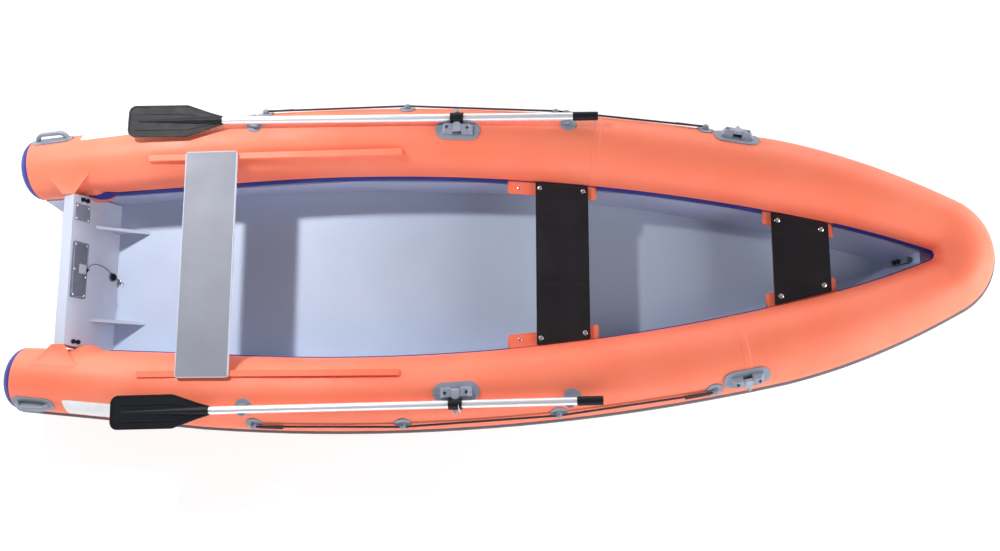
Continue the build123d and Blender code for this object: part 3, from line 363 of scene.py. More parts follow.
def colour_of(name):
    """Linear colour of a colour setting."""
    return tuple(getattr(bpy.context.scene.boat_colours, name))


# Node groups

def feed(tree, socket, value):
    """Give a node's input a value, or link an output to it."""
    if isinstance(value, bpy.types.NodeSocket):
        tree.links.new(value, socket)
    else:
        socket.default_value = value


def noise(tree, vector, scale, detail):
    """Noise on a vector."""
    node = tree.nodes.new("ShaderNodeTexNoise")
    node.inputs["Detail"].default_value = detail
    feed(tree, node.inputs["Scale"], scale)
    feed(tree, node.inputs["Vector"], vector)
    return node.outputs["Fac"]


def math_node(tree, operation, *values, clamp=False):
    """Math node of sockets or numbers."""
    node = tree.nodes.new("ShaderNodeMath")
    node.operation = operation
    node.use_clamp = clamp
    for socket, value in zip(node.inputs, values):
        feed(tree, socket, value)
    return node.outputs[0]


def split(tree, vector):
    """X, Y and Z of a vector."""
    node = tree.nodes.new("ShaderNodeSeparateXYZ")
    tree.links.new(vector, node.inputs[0])
    return node.outputs


def spread(tree, value, low, high, to_low=0.0, to_high=1.0):
    """Map a value's range to another one, clamped."""
    node = tree.nodes.new("ShaderNodeMapRange")
    tree.links.new(value, node.inputs["Value"])
    for name, level in (("From Min", low), ("From Max", high), ("To Min", to_low), ("To Max", to_high)):
        node.inputs[name].default_value = level
    return node.outputs["Result"]


def new_group(name, setting, result):
    """Empty node group with a vector, one number and one result; returns the tree and its two ends."""
    tree = bpy.data.node_groups.new(name, "ShaderNodeTree")
    tree.interface.new_socket("Vector", in_out="INPUT", socket_type="NodeSocketVector")
    tree.interface.new_socket(setting, in_out="INPUT", socket_type="NodeSocketFloat")
    tree.interface.new_socket(result, in_out="OUTPUT", socket_type="NodeSocketFloat")
    return tree, tree.nodes.new("NodeGroupInput").outputs, tree.nodes.new("NodeGroupOutput").inputs


# Masks of noise: detail, levels between which it is cut, stretch of the vector
MASKS = {
    "Mottle": (4.0, (0.35, 0.65), (1.0, 1.0, 1.0)),
    "Scuffs": (5.0, (0.56, 0.72), (0.12, 3.0, 3.0)),
    "Specks": (2.0, (0.54, 0.72), (1.0, 1.0, 1.0)),
}


def build_mask(name):
    """Mask: noise on a stretched vector, cut between two levels, gives patches, marks or grains."""
    detail, levels, stretch = MASKS[name]
    tree, given, result = new_group(name, "Scale", "Mask")
    node = tree.nodes.new("ShaderNodeMapping")
    node.inputs["Scale"].default_value = stretch
    tree.links.new(given["Vector"], node.inputs["Vector"])
    cloud = noise(tree, node.outputs["Vector"], given["Scale"], detail)
    tree.links.new(spread(tree, cloud, *levels), result["Mask"])
    return tree


def build_weave(name):
    """Weave: the product of two sine waves, across and along, broken a little by noise, gives a height."""
    tree, given, result = new_group(name, "Threads", "Height")
    x, y, z = split(tree, given["Vector"])
    step = math_node(tree, "MULTIPLY", given["Threads"], 2 * math.pi)
    slant = math_node(tree, "ADD", y, z)
    warp = math_node(tree, "SINE", math_node(tree, "MULTIPLY", x, step))
    weft = math_node(tree, "SINE", math_node(tree, "MULTIPLY", slant, step))
    woven = math_node(tree, "MULTIPLY", warp, weft)
    broken = noise(tree, given["Vector"], scale=260.0, detail=2.0)
    tree.links.new(math_node(tree, "ADD", woven, broken), result["Height"])
    return tree


def build_grain(name):
    """Grain: fine cells over coarse noise, as a moulded or rolled surface has, give a height."""
    tree, given, result = new_group(name, "Scale", "Height")
    cells = tree.nodes.new("ShaderNodeTexVoronoi")
    tree.links.new(given["Vector"], cells.inputs["Vector"])
    tree.links.new(given["Scale"], cells.inputs["Scale"])
    coarse = noise(tree, given["Vector"], scale=30.0, detail=3.0)
    tree.links.new(math_node(tree, "ADD", cells.outputs["Distance"], coarse), result["Height"])
    return tree


BUILDERS = {"Coated Weave": build_weave, "Moulded Grain": build_grain, **dict.fromkeys(MASKS, build_mask)}


# Finishes

class Finish:
    """A material under construction: its Principled shader, coordinates and effect groups."""

    def __init__(self, name, metallic=0.0, coat=0.0, specular=0.5):
        self.material = bpy.data.materials.new(name)
        self.material.use_nodes = True
        self.tree = self.material.node_tree
        self.shader = self.tree.nodes["Principled BSDF"]
        self.shader.inputs["Metallic"].default_value = metallic
        self.shader.inputs["Coat Weight"].default_value = coat
        self.shader.inputs["Coat Roughness"].default_value = 0.15
        self.shader.inputs["Specular IOR Level"].default_value = specular
        coordinates = self.tree.nodes.new("ShaderNodeTexCoord")
        self.place = coordinates.outputs["Object"]
        self.normal = coordinates.outputs["Normal"]

    def effect(self, name, setting):
        """Output of an effect group, which is built on first use, at a scale."""
        node = self.tree.nodes.new("ShaderNodeGroup")
        node.node_tree = bpy.data.node_groups.get(name) or BUILDERS[name](name)
        self.tree.links.new(self.place, node.inputs[0])
        node.inputs[1].default_value = setting
        return node.outputs[0]

    def mix(self, mask, first, second):
        """Colour between two colours or sockets by a mask: inputs 6 and 7 and output 2 take colours."""
        node = self.tree.nodes.new("ShaderNodeMix")
        node.data_type = "RGBA"
        self.tree.links.new(mask, node.inputs["Factor"])
        for socket, value in ((node.inputs[6], first), (node.inputs[7], second)):
            feed(self.tree, socket, (*value, 1.0) if isinstance(value, tuple) else value)
        return node.outputs[2]

    def base(self, socket):
        self.tree.links.new(socket, self.shader.inputs["Base Color"])

    def rough(self, mask, low, high):
        """Roughness between two values by a mask."""
        self.tree.links.new(spread(self.tree, mask, 0.0, 1.0, low, high), self.shader.inputs["Roughness"])

    def bump(self, height, distance, strength):
        """Relief of a height in metres."""
        node = self.tree.nodes.new("ShaderNodeBump")
        node.inputs["Strength"].default_value = strength
        node.inputs["Distance"].default_value = distance
        self.tree.links.new(height, node.inputs["Height"])
        self.tree.links.new(node.outputs["Normal"], self.shader.inputs["Normal"])


def shade(value, factor):
    """Colour scaled towards black or white, kept in range."""
    return tuple(min(1.0, channel * factor) for channel in value)


def fabric(name, light, deep):
    """Coated fabric: soft mottling between two tones, a satin surface and a fine woven relief."""
    finish = Finish(name, specular=0.42)
    finish.base(finish.mix(finish.effect("Mottle", 3.2), light, deep))
    finish.rough(finish.effect("Mottle", 11.0), low=0.42, high=0.56)
    finish.bump(finish.effect("Coated Weave", 620.0), distance=0.00012, strength=0.35)
    return finish.material


def gelcoat(name, tone, dull=0.0):
    """Sprayed gelcoat: pale tone with broad faint stains, fine specks and a slight orange peel."""
    finish = Finish(name, coat=0.25)
    stained = finish.mix(finish.effect("Mottle", 2.4), tone, shade(tone, 0.95))
    finish.base(finish.mix(finish.effect("Specks", 170.0), stained, shade(tone, 0.90)))
    finish.rough(finish.effect("Mottle", 7.0), low=0.30 + dull, high=0.44 + dull)
    finish.bump(finish.effect("Moulded Grain", 130.0), distance=0.0004, strength=0.25)
    return finish.material


def moulded(name, tone, low=0.36, high=0.52, worn=1.25, specular=0.45):
    """Moulded plastic: a grained surface with paler scuffs."""
    finish = Finish(name, specular=specular)
    body = finish.mix(finish.effect("Mottle", 16.0), tone, shade(tone, 0.9))
    finish.base(finish.mix(finish.effect("Scuffs", 38.0), body, shade(tone, worn)))
    finish.rough(finish.effect("Mottle", 24.0), low, high)
    finish.bump(finish.effect("Moulded Grain", 900.0), distance=0.00018, strength=0.4)
    return finish.material


def metal(name, tone, low, high, metallic):
    """Bright metal with fine marks along it; a bloom of oxide makes it less metallic."""
    finish = Finish(name, metallic=metallic)
    mask = finish.effect("Scuffs", 90.0)
    finish.base(finish.mix(mask, tone, shade(tone, 0.93)))
    finish.rough(mask, low, high)
    finish.bump(finish.effect("Moulded Grain", 700.0), distance=0.00006, strength=0.3)
    return finish.material


def board(name, face, edge, layers):
    """Board with a film on its flat faces and layered edges, told apart by the face's slope."""
    finish = Finish(name, specular=0.22)
    tree = finish.tree
    flat = spread(tree, math_node(tree, "ABSOLUTE", split(tree, finish.normal)["Z"]), 0.6, 0.8)
    height = split(tree, finish.place)["Z"]
    plies = math_node(tree, "SINE", math_node(tree, "MULTIPLY", height, layers))
    side = finish.mix(spread(tree, plies, -0.3, 0.3), edge, shade(edge, 0.7))
    top = finish.mix(finish.effect("Mottle", 6.0), face, shade(face, 0.84))
    worn = finish.mix(finish.effect("Scuffs", 24.0), top, shade(face, 1.18))
    finish.base(finish.mix(flat, side, worn))
    finish.rough(finish.effect("Mottle", 9.0), low=0.36, high=0.5)
    finish.bump(finish.effect("Moulded Grain", 420.0), distance=0.00016, strength=0.35)
    return finish.material


def gritted(name, tone):
    """Board with an even gritted face and paler edges, which are a painted highlight, told by the distance
    from the bench's middle.
    """
    finish = Finish(name, specular=0.4)
    tree = finish.tree
    place = split(tree, finish.place)
    from_middle = (math_node(tree, "SUBTRACT", place["X"], BENCH_MIDDLE_X), place["Y"])
    ends = []
    for distance, half in zip(from_middle, BENCH_HALF):
        away = math_node(tree, "ABSOLUTE", distance)
        ends.append(spread(tree, away, *(half - highlight_reach for highlight_reach in BENCH_EDGE_HIGHLIGHT)))
    grit = finish.mix(finish.effect("Specks", 420.0), tone, shade(tone, 1.22))
    face = finish.mix(finish.effect("Mottle", 5.0), grit, shade(tone, 0.93))
    # Painted highlight: the face turns much paler in a narrow band along the bench's edges
    finish.base(finish.mix(math_node(tree, "MAXIMUM", *ends), face, shade(tone, 2.1)))
    finish.rough(finish.effect("Mottle", 9.0), low=0.46, high=0.58)
    finish.bump(finish.effect("Moulded Grain", 520.0), distance=0.00022, strength=0.45)
    return finish.material


def make_finishes():
    """All materials of the boat by the name of their finish."""
    tone = {name: colour_of(name) for name in BoatColours.__annotations__}
    return {
        "orange": fabric("coated_fabric_orange", tone["orange"], tone["orange_deep"]),
        "blue": fabric("coated_fabric_blue", tone["blue"], shade(tone["blue"], 0.8)),
        "rope": fabric("twisted_rope", tone["rope"], shade(tone["rope"], 0.6)),
        "floor": gelcoat("floor_gelcoat", tone["floor"]),
        "wall": gelcoat("wall_gelcoat", tone["wall"], dull=0.05),
        # Painted shade: the stem filler is darker than the other gelcoats to stand for the bow's shade
        "stem": gelcoat("stem_filler", tone["stem"], dull=0.1),
        "transom": gelcoat("transom_gelcoat", tone["transom"], dull=0.08),
        "strake": moulded("strake_rubber", tone["strake"], low=0.5, high=0.64),
        "fitting": moulded("grey_moulding", tone["fitting"]),
        "finger": moulded("finger_moulding", tone["finger"]),
        "plate": moulded("plate_moulding", tone["plate"]),
        "pad": moulded("pad_moulding", tone["pad"]),
        "blade": moulded("black_moulding", tone["blade"], low=0.44, high=0.5, worn=1.15, specular=0.16),
        "decal": moulded("decal_film", tone["decal"], low=0.28, high=0.36, worn=1.0),
        "tag": moulded("tag_film", tone["tag"], low=0.28, high=0.36, worn=1.0),
        "shaft": metal("anodised_tube", tone["shaft"], low=0.34, high=0.44, metallic=0.45),
        "steel": metal("polished_steel", tone["steel"], low=0.16, high=0.26, metallic=0.8),
        "bench": gritted("bench_board", tone["bench"]),
        "ply": board("film_faced_ply", tone["ply"], tone["ply_edge"], layers=2600.0),
    }


# Finish of each solid, by the start of its name; the longest start that fits counts
NODE_FINISH = {
    "tube_": "orange", "transom_gussets": "orange", "transom_cuffs": "orange", "thwart_tabs": "orange",
    "bench_rails": "orange", "stern_caps": "blue", "lip_tape": "blue", "rub_strake": "strake",
    "hull_bottom": "floor", "hull_side": "wall", "stem_filling": "stem",
    "bow_eye": "steel", "bow_eye_caps": "blade", "transom": "transom", "transom_knees": "transom",
    "transom_eyes": "steel", "transom_eye_caps": "blade",
    "motor_pad": "pad", "small_plate": "plate", "drain_fitting": "plate", "drain_plug": "blade",
    "lanyard_tag": "tag", "lanyard": "rope", "bench": "bench", "bench_guides": "blade",
    "middle_thwart": "ply", "front_thwart": "ply",
    "rowlock_base": "fitting", "rowlock_finger": "finger",
    "bow_rowlock_base": "fitting", "bow_rowlock_finger": "finger",
    "oar_shaft": "shaft", "oar_blade": "blade", "oar_grip": "blade", "oar_clamp": "blade",
    "oar_clips": "fitting", "rope_pads": "fitting", "stern_handles": "fitting", "air_valves": "fitting",
    "lifeline": "rope",
}

FINISHES = {}


def finish_of(key):
    """Material of a finish, made on first use."""
    if not FINISHES:
        FINISHES.update(make_finishes())
    return FINISHES[key]


# Shapes

def unit(vectors):
    """Vectors scaled to length one."""
    return vectors / np.linalg.norm(vectors, axis=-1, keepdims=True)


def round_angles(count):
    """Even angles once round, without the last."""
    return np.linspace(0, 2 * math.pi, count, endpoint=False)


def circle(centre, first, second, radius):
    """Points of a circle: centre + radius (cos t first + sin t second)."""
    turn = round_angles(LOOP_ROWS)[:, None]
    return centre + radius * (np.cos(turn) * first + np.sin(turn) * second)


def mirrored_pair(rings):
    """Rings and their starboard twin."""
    return [rings * (1.0, side, 1.0) for side in SIDES.values()]


def closed_tube(points):
    """Vertices, quads and end triangles of rings (rows, columns, 3) joined in a tube with flat ends.

    The faces are turned outwards: the sum of the signed volumes under them tells which way they point.
    """
    rows, columns, _ = points.shape
    ring = np.arange(columns)
    beside = (ring + 1) % columns
    first, last = rows * columns, rows * columns + 1
    strip = np.stack((ring, beside, beside + columns, ring + columns), axis=-1)
    quads = (strip + columns * np.arange(rows - 1)[:, None, None]).reshape(-1, 4)
    top = (rows - 1) * columns
    ends = np.vstack((
        np.stack((beside, ring, np.full(columns, first)), axis=-1),
        np.stack((ring + top, beside + top, np.full(columns, last)), axis=-1),
    ))
    verts = np.vstack((points.reshape(-1, 3), points[0].mean(axis=0), points[-1].mean(axis=0)))
    corner = verts[np.vstack((quads[:, :3], quads[:, [0, 2, 3]], ends))]
    if np.einsum("ij,ij->", corner[:, 0], np.cross(corner[:, 1], corner[:, 2])) < 0:
        quads, ends = quads[:, ::-1], ends[:, ::-1]
    return verts, quads, ends


SHARP_EDGE = math.radians(50.0)


def add_tubes(name, tubes, finish, body="boat"):
    """One piece of several closed tubes of rings, which rides on a body."""
    points, faces, count = [], [], 0
    for rings in tubes:
        verts, quads, ends = closed_tube(rings)
        points += verts.tolist()
        faces += (quads + count).tolist() + (ends + count).tolist()
        count += len(verts)
    mesh = bpy.data.meshes.new(name)
    mesh.from_pydata(points, [], faces)
    mesh.polygons.foreach_set("use_smooth", np.ones(len(mesh.polygons), bool))
    mesh.materials.append(finish_of(finish))
    mesh.update()
    mesh.set_sharp_from_angle(angle=SHARP_EDGE)
    piece = bpy.data.objects.new(name, mesh)
    bpy.context.scene.collection.objects.link(piece)
    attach(piece, body)
    return piece


def port_run(x):
    """Centre, outboard vector, up vector and radius of the port tube at stations x.

    The axis runs straight at the stern, then on a circle of the side bend, then on one of the bow bend that
    rises with the square of the distance. The radius tapers evenly aft, and by a power of the distance ahead.
    """
    x = np.asarray(x, float)
    splay = math.radians(STERN_SPLAY)
    side = np.arcsin(np.clip((x - WIDEST_X) / SIDE_BEND, -1, 1))
    bow = np.arcsin(np.clip(math.sin(math.radians(SIDE_TURN)) + (x - SIDE_END_X) / BOW_BEND, -1, 1))
    at_stern, at_bow = x <= SIDE_START_X, x > SIDE_END_X
    turn = np.where(at_stern, -splay, np.where(at_bow, bow, side))
    along = np.clip((x - SIDE_END_X) / BOW_LONG, 0, 1)
    taper = np.clip((SIDE_START_X - x) / (SIDE_START_X - STERN_END_X), 0, 1)
    y_stern = SIDE_START_Y - (SIDE_START_X - x) * math.tan(splay)
    y_side = WIDEST_Y - SIDE_BEND * (1 - np.cos(side))
    y_bow = SIDE_END_Y - BOW_BEND * (math.cos(math.radians(SIDE_TURN)) - np.cos(bow))
    y = np.where(at_stern, y_stern, np.where(at_bow, y_bow, y_side))
    centre = np.stack((x, y, TUBE_Z + BOW_RISE * along ** 2), axis=-1)
    radius = TUBE_R + taper * (STERN_R - TUBE_R) + along ** BOW_TAPER * (NOSE_R - TUBE_R)
    climb = 2 * BOW_RISE * along / BOW_LONG
    ahead = unit(np.stack((np.cos(turn), -np.sin(turn), climb * np.cos(turn)), axis=-1))
    out = np.stack((np.sin(turn), np.cos(turn), np.zeros_like(turn)), axis=-1)
    return centre, out, np.cross(ahead, out), radius


def port_station(x):
    """Centre, outboard vector, up vector and radius of the port tube at one station."""
    return tuple(value[0] for value in port_run([x]))


def nose_run(count):
    """The same round the nose: the port run's last section turned about an axis square to the nose arc."""
    centre, out, up, radius = port_station(BOW_END_X)
    climb = 2 * BOW_RISE / BOW_LONG
    turn = math.radians(BOW_TURN)
    in_plane = math.atan2(math.sin(turn), math.cos(turn) * math.sqrt(1 + climb ** 2))
    pitch = math.atan(climb)
    back = centre[1] * math.tan(in_plane)
    pivot = np.array((BOW_END_X - back * math.cos(pitch), 0.0, centre[2] - back * math.sin(pitch)))
    axis = np.array((math.sin(pitch), 0.0, -math.cos(pitch)))
    angle = np.linspace(0, 2 * (math.pi / 2 - in_plane), count)[:, None]

    def turned(vector):
        along = axis * (axis @ vector)
        return along + (vector - along) * np.cos(angle) + np.cross(axis, vector) * np.sin(angle)

    return pivot + turned(centre - pivot), turned(out), turned(up), np.full(count, radius)


def round_the_bow(port, twin, count):
    """Run that goes forward along a port run, round the nose and aft along the mirror image of its twin."""
    flip = np.array((1.0, -1.0, 1.0))
    centre, out, up, radius = (value[::-1] for value in twin)
    starboard = (centre * flip, out * flip, up * flip, radius)
    return [np.concatenate(parts) for parts in zip(port, nose_run(count), starboard)]


def outward(run, angles):
    """Unit vectors round a run: sin a outboard + cos a up, with angles from the tube's top."""
    _, out, up, _ = run
    return np.sin(angles)[..., None] * out[:, None, :] + np.cos(angles)[..., None] * up[:, None, :]


def skin(run, angles, lift=0.0):
    """Points of a run's skin: centre + (radius + lift) times the outward vector."""
    centre, _, _, radius = run
    return centre[:, None, :] + (radius[:, None] + lift)[..., None] * outward(run, angles)


def skin_frame(x, degrees, lift, side=1.0):
    """Point, forward and outward vectors on the skin at a station and an angle, port or starboard."""
    centre, out, up, radius = port_station(x)
    angle = math.radians(degrees)
    normal = math.sin(angle) * out + math.cos(angle) * up
    across = math.cos(angle) * out - math.sin(angle) * up
    flip = np.array((1.0, side, 1.0))
    return (centre + (radius + lift) * normal) * flip, np.cross(across, normal) * flip, normal * flip


def on_transom(across, down, off):
    """Point at a place on the transom's inner face."""
    return TRANSOM_TOP + (0.0, across, 0.0) + down * TRANSOM_DOWN + off * TRANSOM_OFF


def stadium(half_long, half_wide, corner, count):
    """Outline of a rounded rectangle: a corner's circle, which jumps by the straight halves at the sides."""
    turn = round_angles(count)
    x = corner * np.cos(turn) + (half_long - corner) * np.clip(4 * np.cos(turn), -1, 1)
    y = corner * np.sin(turn) + (half_wide - corner) * np.clip(4 * np.sin(turn), -1, 1)
    return x[:, None], y[:, None]


def loop_rings(path, thick):
    """Rings of a round wire of a radius along a closed path, each in the plane across the path."""
    ahead = unit(np.roll(path, -1, axis=0) - np.roll(path, 1, axis=0))
    out = path - path.mean(axis=0)
    out = unit(out - np.sum(out * ahead, axis=1, keepdims=True) * ahead)
    up = np.cross(ahead, out)
    ring = round_angles(WIRE_SIDES)[None, :, None]
    rings = path[:, None, :] + thick * (np.cos(ring) * out[:, None, :] + np.sin(ring) * up[:, None, :])
    return np.concatenate((rings, rings[:1]))


# Pieces

class BOAT_OT_finishes(bpy.types.Operator):
    """Give every solid of the boat its finish"""
    bl_idname = "boat.finishes"
    bl_label = "Finish the Solids"

    def execute(self, context):
        for name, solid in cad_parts.items():
            match = [key for key in NODE_FINISH if name.startswith(key)]
            if not match:
                raise RuntimeError(f"no finish for {name}")
            solid.data.materials.clear()
            solid.data.materials.append(finish_of(NODE_FINISH[max(match, key=len)]))
        return {"FINISHED"}


def puckers(along, angles):
    """Small folds of a skin: waves round the tube that fade with the distance along it from a seam."""
    waves = sum(share * np.sin(count * angles + phase) for count, phase, share in PUCKER_WAVES)
    return PUCKER_TALL * waves * np.exp(-np.abs(along) / PUCKER_REACH)


def ripples(centre, angles, side):
    """Ripples of a side's skin: a cosine along the tube under a bell curve along it and another round it."""
    total = np.zeros((len(centre), len(angles)))
    turned = np.degrees(np.arctan2(np.sin(angles), np.cos(angles)))
    for at, x, degrees, height, reach, reach_round in RIPPLES:
        if at == side:
            along = centre[:, :1] - x
            bell = np.exp(-((along / reach) ** 2)) * np.exp(-(((turned - degrees) / reach_round) ** 2))
            total += height * bell * np.cos(2 * math.pi * along / RIPPLE_WAVE)
    return total


def nose_tuck(centre, angles):
    """Tuck of the skin over the nose: a bell curve across the boat by the cube of a cosine round the tube."""
    deep, half, degrees = NOSE_TUCK
    inner = np.clip(np.cos(angles + math.radians(degrees)), 0, 1) ** 3
    return deep * inner * np.exp(-((centre[:, 1:2] / half) ** 2)) * (centre[:, :1] > BOW_END_X)


class BOAT_OT_tube_skins(bpy.types.Operator):
    """Inflated skins over the three chambers, with the small folds of glued fabric"""
    bl_idname = "boat.tube_skins"
    bl_label = "Tube Skins"

    def execute(self, context):
        step = sizes().skin_step
        angles = round_angles(SKIN_COLUMNS)
        end = SIDE_END_X - CHAMBER_GAP
        port = port_run(np.append(np.arange(STERN_END_X, end, step), end))
        bow = port_run(np.arange(SIDE_END_X + CHAMBER_GAP, BOW_END_X, step))
        whole = round_the_bow(bow, bow, NOSE_ROWS)
        chambers = {}
        for label, side in SIDES.items():
            folds = puckers(port[0][:, :1] - SIDE_END_X, angles) + ripples(port[0], angles, side)
            chambers[label] = skin(port, angles, folds) * (1.0, side, 1.0)
        folds = puckers(whole[0][:, :1] - SIDE_END_X, angles) - nose_tuck(whole[0], angles)
        chambers["bow"] = skin(whole, angles, folds)
        for label, rings in chambers.items():
            piece = add_tubes(f"tube_skin_{label}", [rings], "orange")
            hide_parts(f"tube_{label}")
        return {"FINISHED"}


class BOAT_OT_stern_caps(bpy.types.Operator):
    """Blue domes at the tubes' stern ends, gathered a little at their rims"""
    bl_idname = "boat.stern_caps"
    bl_label = "Stern Caps"

    def execute(self, context):
        centre, out, up, radius = port_station(STERN_END_X)
        turn = np.linspace(*CAP_TURN, CAP_ROWS)[:, None]
        angles = round_angles(CAP_COLUMNS)
        count, deep, place, reach = CAP_GATHERS
        gathers = 1 - deep * (1 + np.cos(count * angles)) * np.exp(-(((turn - place) / reach) ** 2))
        around = np.sin(angles)[:, None] * out + np.cos(angles)[:, None] * up
        aft = -CAP_DEPTH * np.sin(turn)[..., None] * np.cross(out, up)
        dome = centre + aft + (radius * np.cos(turn) * gathers)[..., None] * around
        piece = add_tubes("stern_cap_skins", mirrored_pair(dome), "blue")
        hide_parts("stern_caps")
        return {"FINISHED"}


def cuff_middle():
    """Centre of the port cuff's ball, which stands out of the tube's inboard side by the bulge."""
    x, rise, ball, bulge = CUFF
    centre, _, _, radius = port_station(x)
    return centre + np.array((0.0, ball - radius - bulge, rise))


def over_cuff(run, angles):
    """Lift from a run's skin to the cuff's ball: the ray's far root less the radius, nought at a miss."""
    centre, _, _, radius = run
    to_ball = cuff_middle() - centre
    near = np.einsum("rck,rk->rc", outward(run, angles), to_ball)
    gap = CUFF[2] ** 2 - np.sum(to_ball ** 2, axis=1)[:, None] + near ** 2
    reach = near + np.sqrt(np.clip(gap, 0, None))
    return np.where(gap > 0, np.clip(reach - radius[:, None], 0, None), 0.0)


class BOAT_OT_lip_tape(bpy.types.Operator):
    """Blue tape over the lip between the hull and the tubes, its port tip laid over the cuff"""
    bl_idname = "boat.lip_tape"
    bl_label = "Lip Tape"

    def execute(self, context):
        port = port_run(np.arange(LIP_TIP_X, BOW_END_X, LIP_STEP))
        twin = port_run(np.arange(LIP_LEAVES_X, BOW_END_X, LIP_STEP))
        whole = round_the_bow(port, twin, LIP_NOSE_ROWS)
        low, high = np.radians(LIP_ANGLE)
        share, raised = np.array(LIP_SECTION).T
        angles = low + (high - low) * np.concatenate((share, share[::-1]))
        lift = np.concatenate((LIP_DEEP * raised, np.full(len(share), -LIP_SINK)))
        ring = np.arange(len(whole[0]))
        rings_narrowed, narrowest = LIP_NARROWS
        width = np.clip(np.minimum(ring, ring[::-1]) / rings_narrowed, narrowest, 1.0)[:, None]
        climb = np.clip((LIP_LEAVES_X - whole[0][:, :1]) / (LIP_LEAVES_X - LIP_TIP_X), 0, 1)
        laid = angles.mean() + (angles - angles.mean()) * width + math.radians(LIP_TURN) * climb
        rise = np.zeros_like(laid)
        port_rings = slice(len(port[0]))
        rise[port_rings] = over_cuff(port, laid[port_rings])
        piece = add_tubes("lip_tape_strip", [skin(whole, laid, lift + rise)], "blue")
        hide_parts("lip_tape")
        return {"FINISHED"}


class BOAT_OT_webs(bpy.types.Operator):
    """Fabric webs from the tubes to the transom's top corners"""
    bl_idname = "boat.webs"
    bl_label = "Transom Webs"

    def execute(self, context):
        across = np.linspace(-1, 1, WEB_COLUMNS)
        share = np.linspace(0, 1, WEB_ROWS)[:, None, None]
        x, y, z = WEB_FOOT
        foot = np.stack((x + WEB_HALF[0] * across, np.full_like(across, y), np.full_like(across, z)), axis=-1)
        tube = port_run(x + WEB_HALF[1] * across)
        lap_angles = np.radians(WEB_ANGLE) + np.linspace(0.0, WEB_LAP, LAP_ROWS) / tube[3].mean()
        laps = skin(tube, lap_angles, LAP_LIFT).transpose(1, 0, 2)
        straight = (1 - share) * foot + share * laps[0]
        middle = straight.mean(axis=1, keepdims=True)
        bow = np.sin(math.pi * share)
        web = middle + (straight - middle) * (1 - WEB_WAIST * bow)
        web[..., 2] -= WEB_SAG * bow[..., 0] * (1 - across ** 2)
        top = np.concatenate((web, laps[1:]))
        thick = np.concatenate((np.full(len(web), WEB_THICK), np.full(len(laps) - 1, LAP_THICK)))
        under = top[:, ::-1] - thick[:, None, None] * UP
        rings = np.concatenate((top, under), axis=1)
        for label, side in SIDES.items():
            piece = add_tubes(f"transom_web_{label}", [rings * (1.0, side, 1.0)], "orange")
            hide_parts("transom_gussets")
        return {"FINISHED"}


class BOAT_OT_cuffs(bpy.types.Operator):
    """Rounded fabric cuffs where the tubes meet the transom"""
    bl_idname = "boat.cuffs"
    bl_label = "Transom Cuffs"

    def execute(self, context):
        polar = np.linspace(*CUFF_TURN, CUFF_ROWS)[:, None]
        turn = round_angles(CUFF_COLUMNS)
        count, phase, tall = CUFF_FOLDS
        reach = CUFF[2] * (1 + tall * np.cos(count * turn + phase) * np.sin(polar) ** 2)
        out = reach * np.sin(polar)
        ball = np.stack((out * np.cos(turn), -reach * np.cos(polar), out * np.sin(turn)), axis=-1)
        piece = add_tubes("transom_cuff_skins", mirrored_pair(cuff_middle() + ball), "orange")
        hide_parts("transom_cuffs")
        return {"FINISHED"}


def inner_edge(run, height):
    """Half-beam of the port tube's inboard skin at heights: the circle's chord along the outboard vector."""
    centre, out, _, radius = (value[:, None] for value in run)
    return centre[..., 1] - np.sqrt(radius ** 2 - (height - centre[..., 2]) ** 2) / out[..., 1]


class BOAT_OT_tabs(bpy.types.Operator):
    """Fabric tabs under the thwarts, glued up the tubes' sides"""
    bl_idname = "boat.tabs"
    bl_label = "Thwart Tabs"

    def execute(self, context):
        tubes = []
        for start, end, top in TABS:
            x = start + (end - start) * (1 - np.cos(np.linspace(0, math.pi, TAB_ROWS)[:, None])) / 2
            run = port_run(x[:, 0])
            near = np.clip(np.minimum(x - start, end - x), 0, TAB_ROUND)
            corner = TAB_ROUND - np.sqrt(TAB_ROUND ** 2 - (TAB_ROUND - near) ** 2)
            tip = inner_edge(run, top - TAB_THICK) - TAB_WIDE + corner
            flat = tip + (inner_edge(run, top) - TAB_BEND - tip) * TAB_FLAT
            heights = top + np.linspace(*TAB_LAP, TAB_LAP_ROWS)
            lap_out = inner_edge(run, heights) - TAB_LAP_OUT
            lap_in = inner_edge(run, heights) + TAB_LAP_IN
            hem = TAB_THICK * np.array(TAB_HEM)
            y = np.concatenate((flat, lap_out, lap_in[:, ::-1], flat[:, ::-1]), axis=1)
            z = np.concatenate((top - hem, heights, heights[::-1], top - TAB_THICK + hem[::-1]))
            tubes += mirrored_pair(np.stack(np.broadcast_arrays(x, y, z), axis=-1))
        piece = add_tubes("thwart_tab_flaps", tubes, "orange")
        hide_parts("thwart_tabs")
        return {"FINISHED"}


class BOAT_OT_seams(bpy.types.Operator):
    """Tapes over the seams across the tubes"""
    bl_idname = "boat.seams"
    bl_label = "Seam Tapes"

    def execute(self, context):
        angles = np.radians(np.linspace(*SEAM_ANGLE, SEAM_ROWS))
        across, lift = np.array(SEAM_SECTION).T * ((sizes().seam_width,), (sizes().seam_height,))
        for label, side in SIDES.items():
            outer = skin(port_run(SEAM_X[label] + across), angles, lift[:, None])
            inner = skin(port_run(SEAM_X[label] + across[::-1]), angles, -SEAM_SINK)
            rings = np.concatenate((outer, inner)).transpose(1, 0, 2)
            add_tubes(f"seam_{label}", [rings * (1.0, side, 1.0)], "orange")
        return {"FINISHED"}


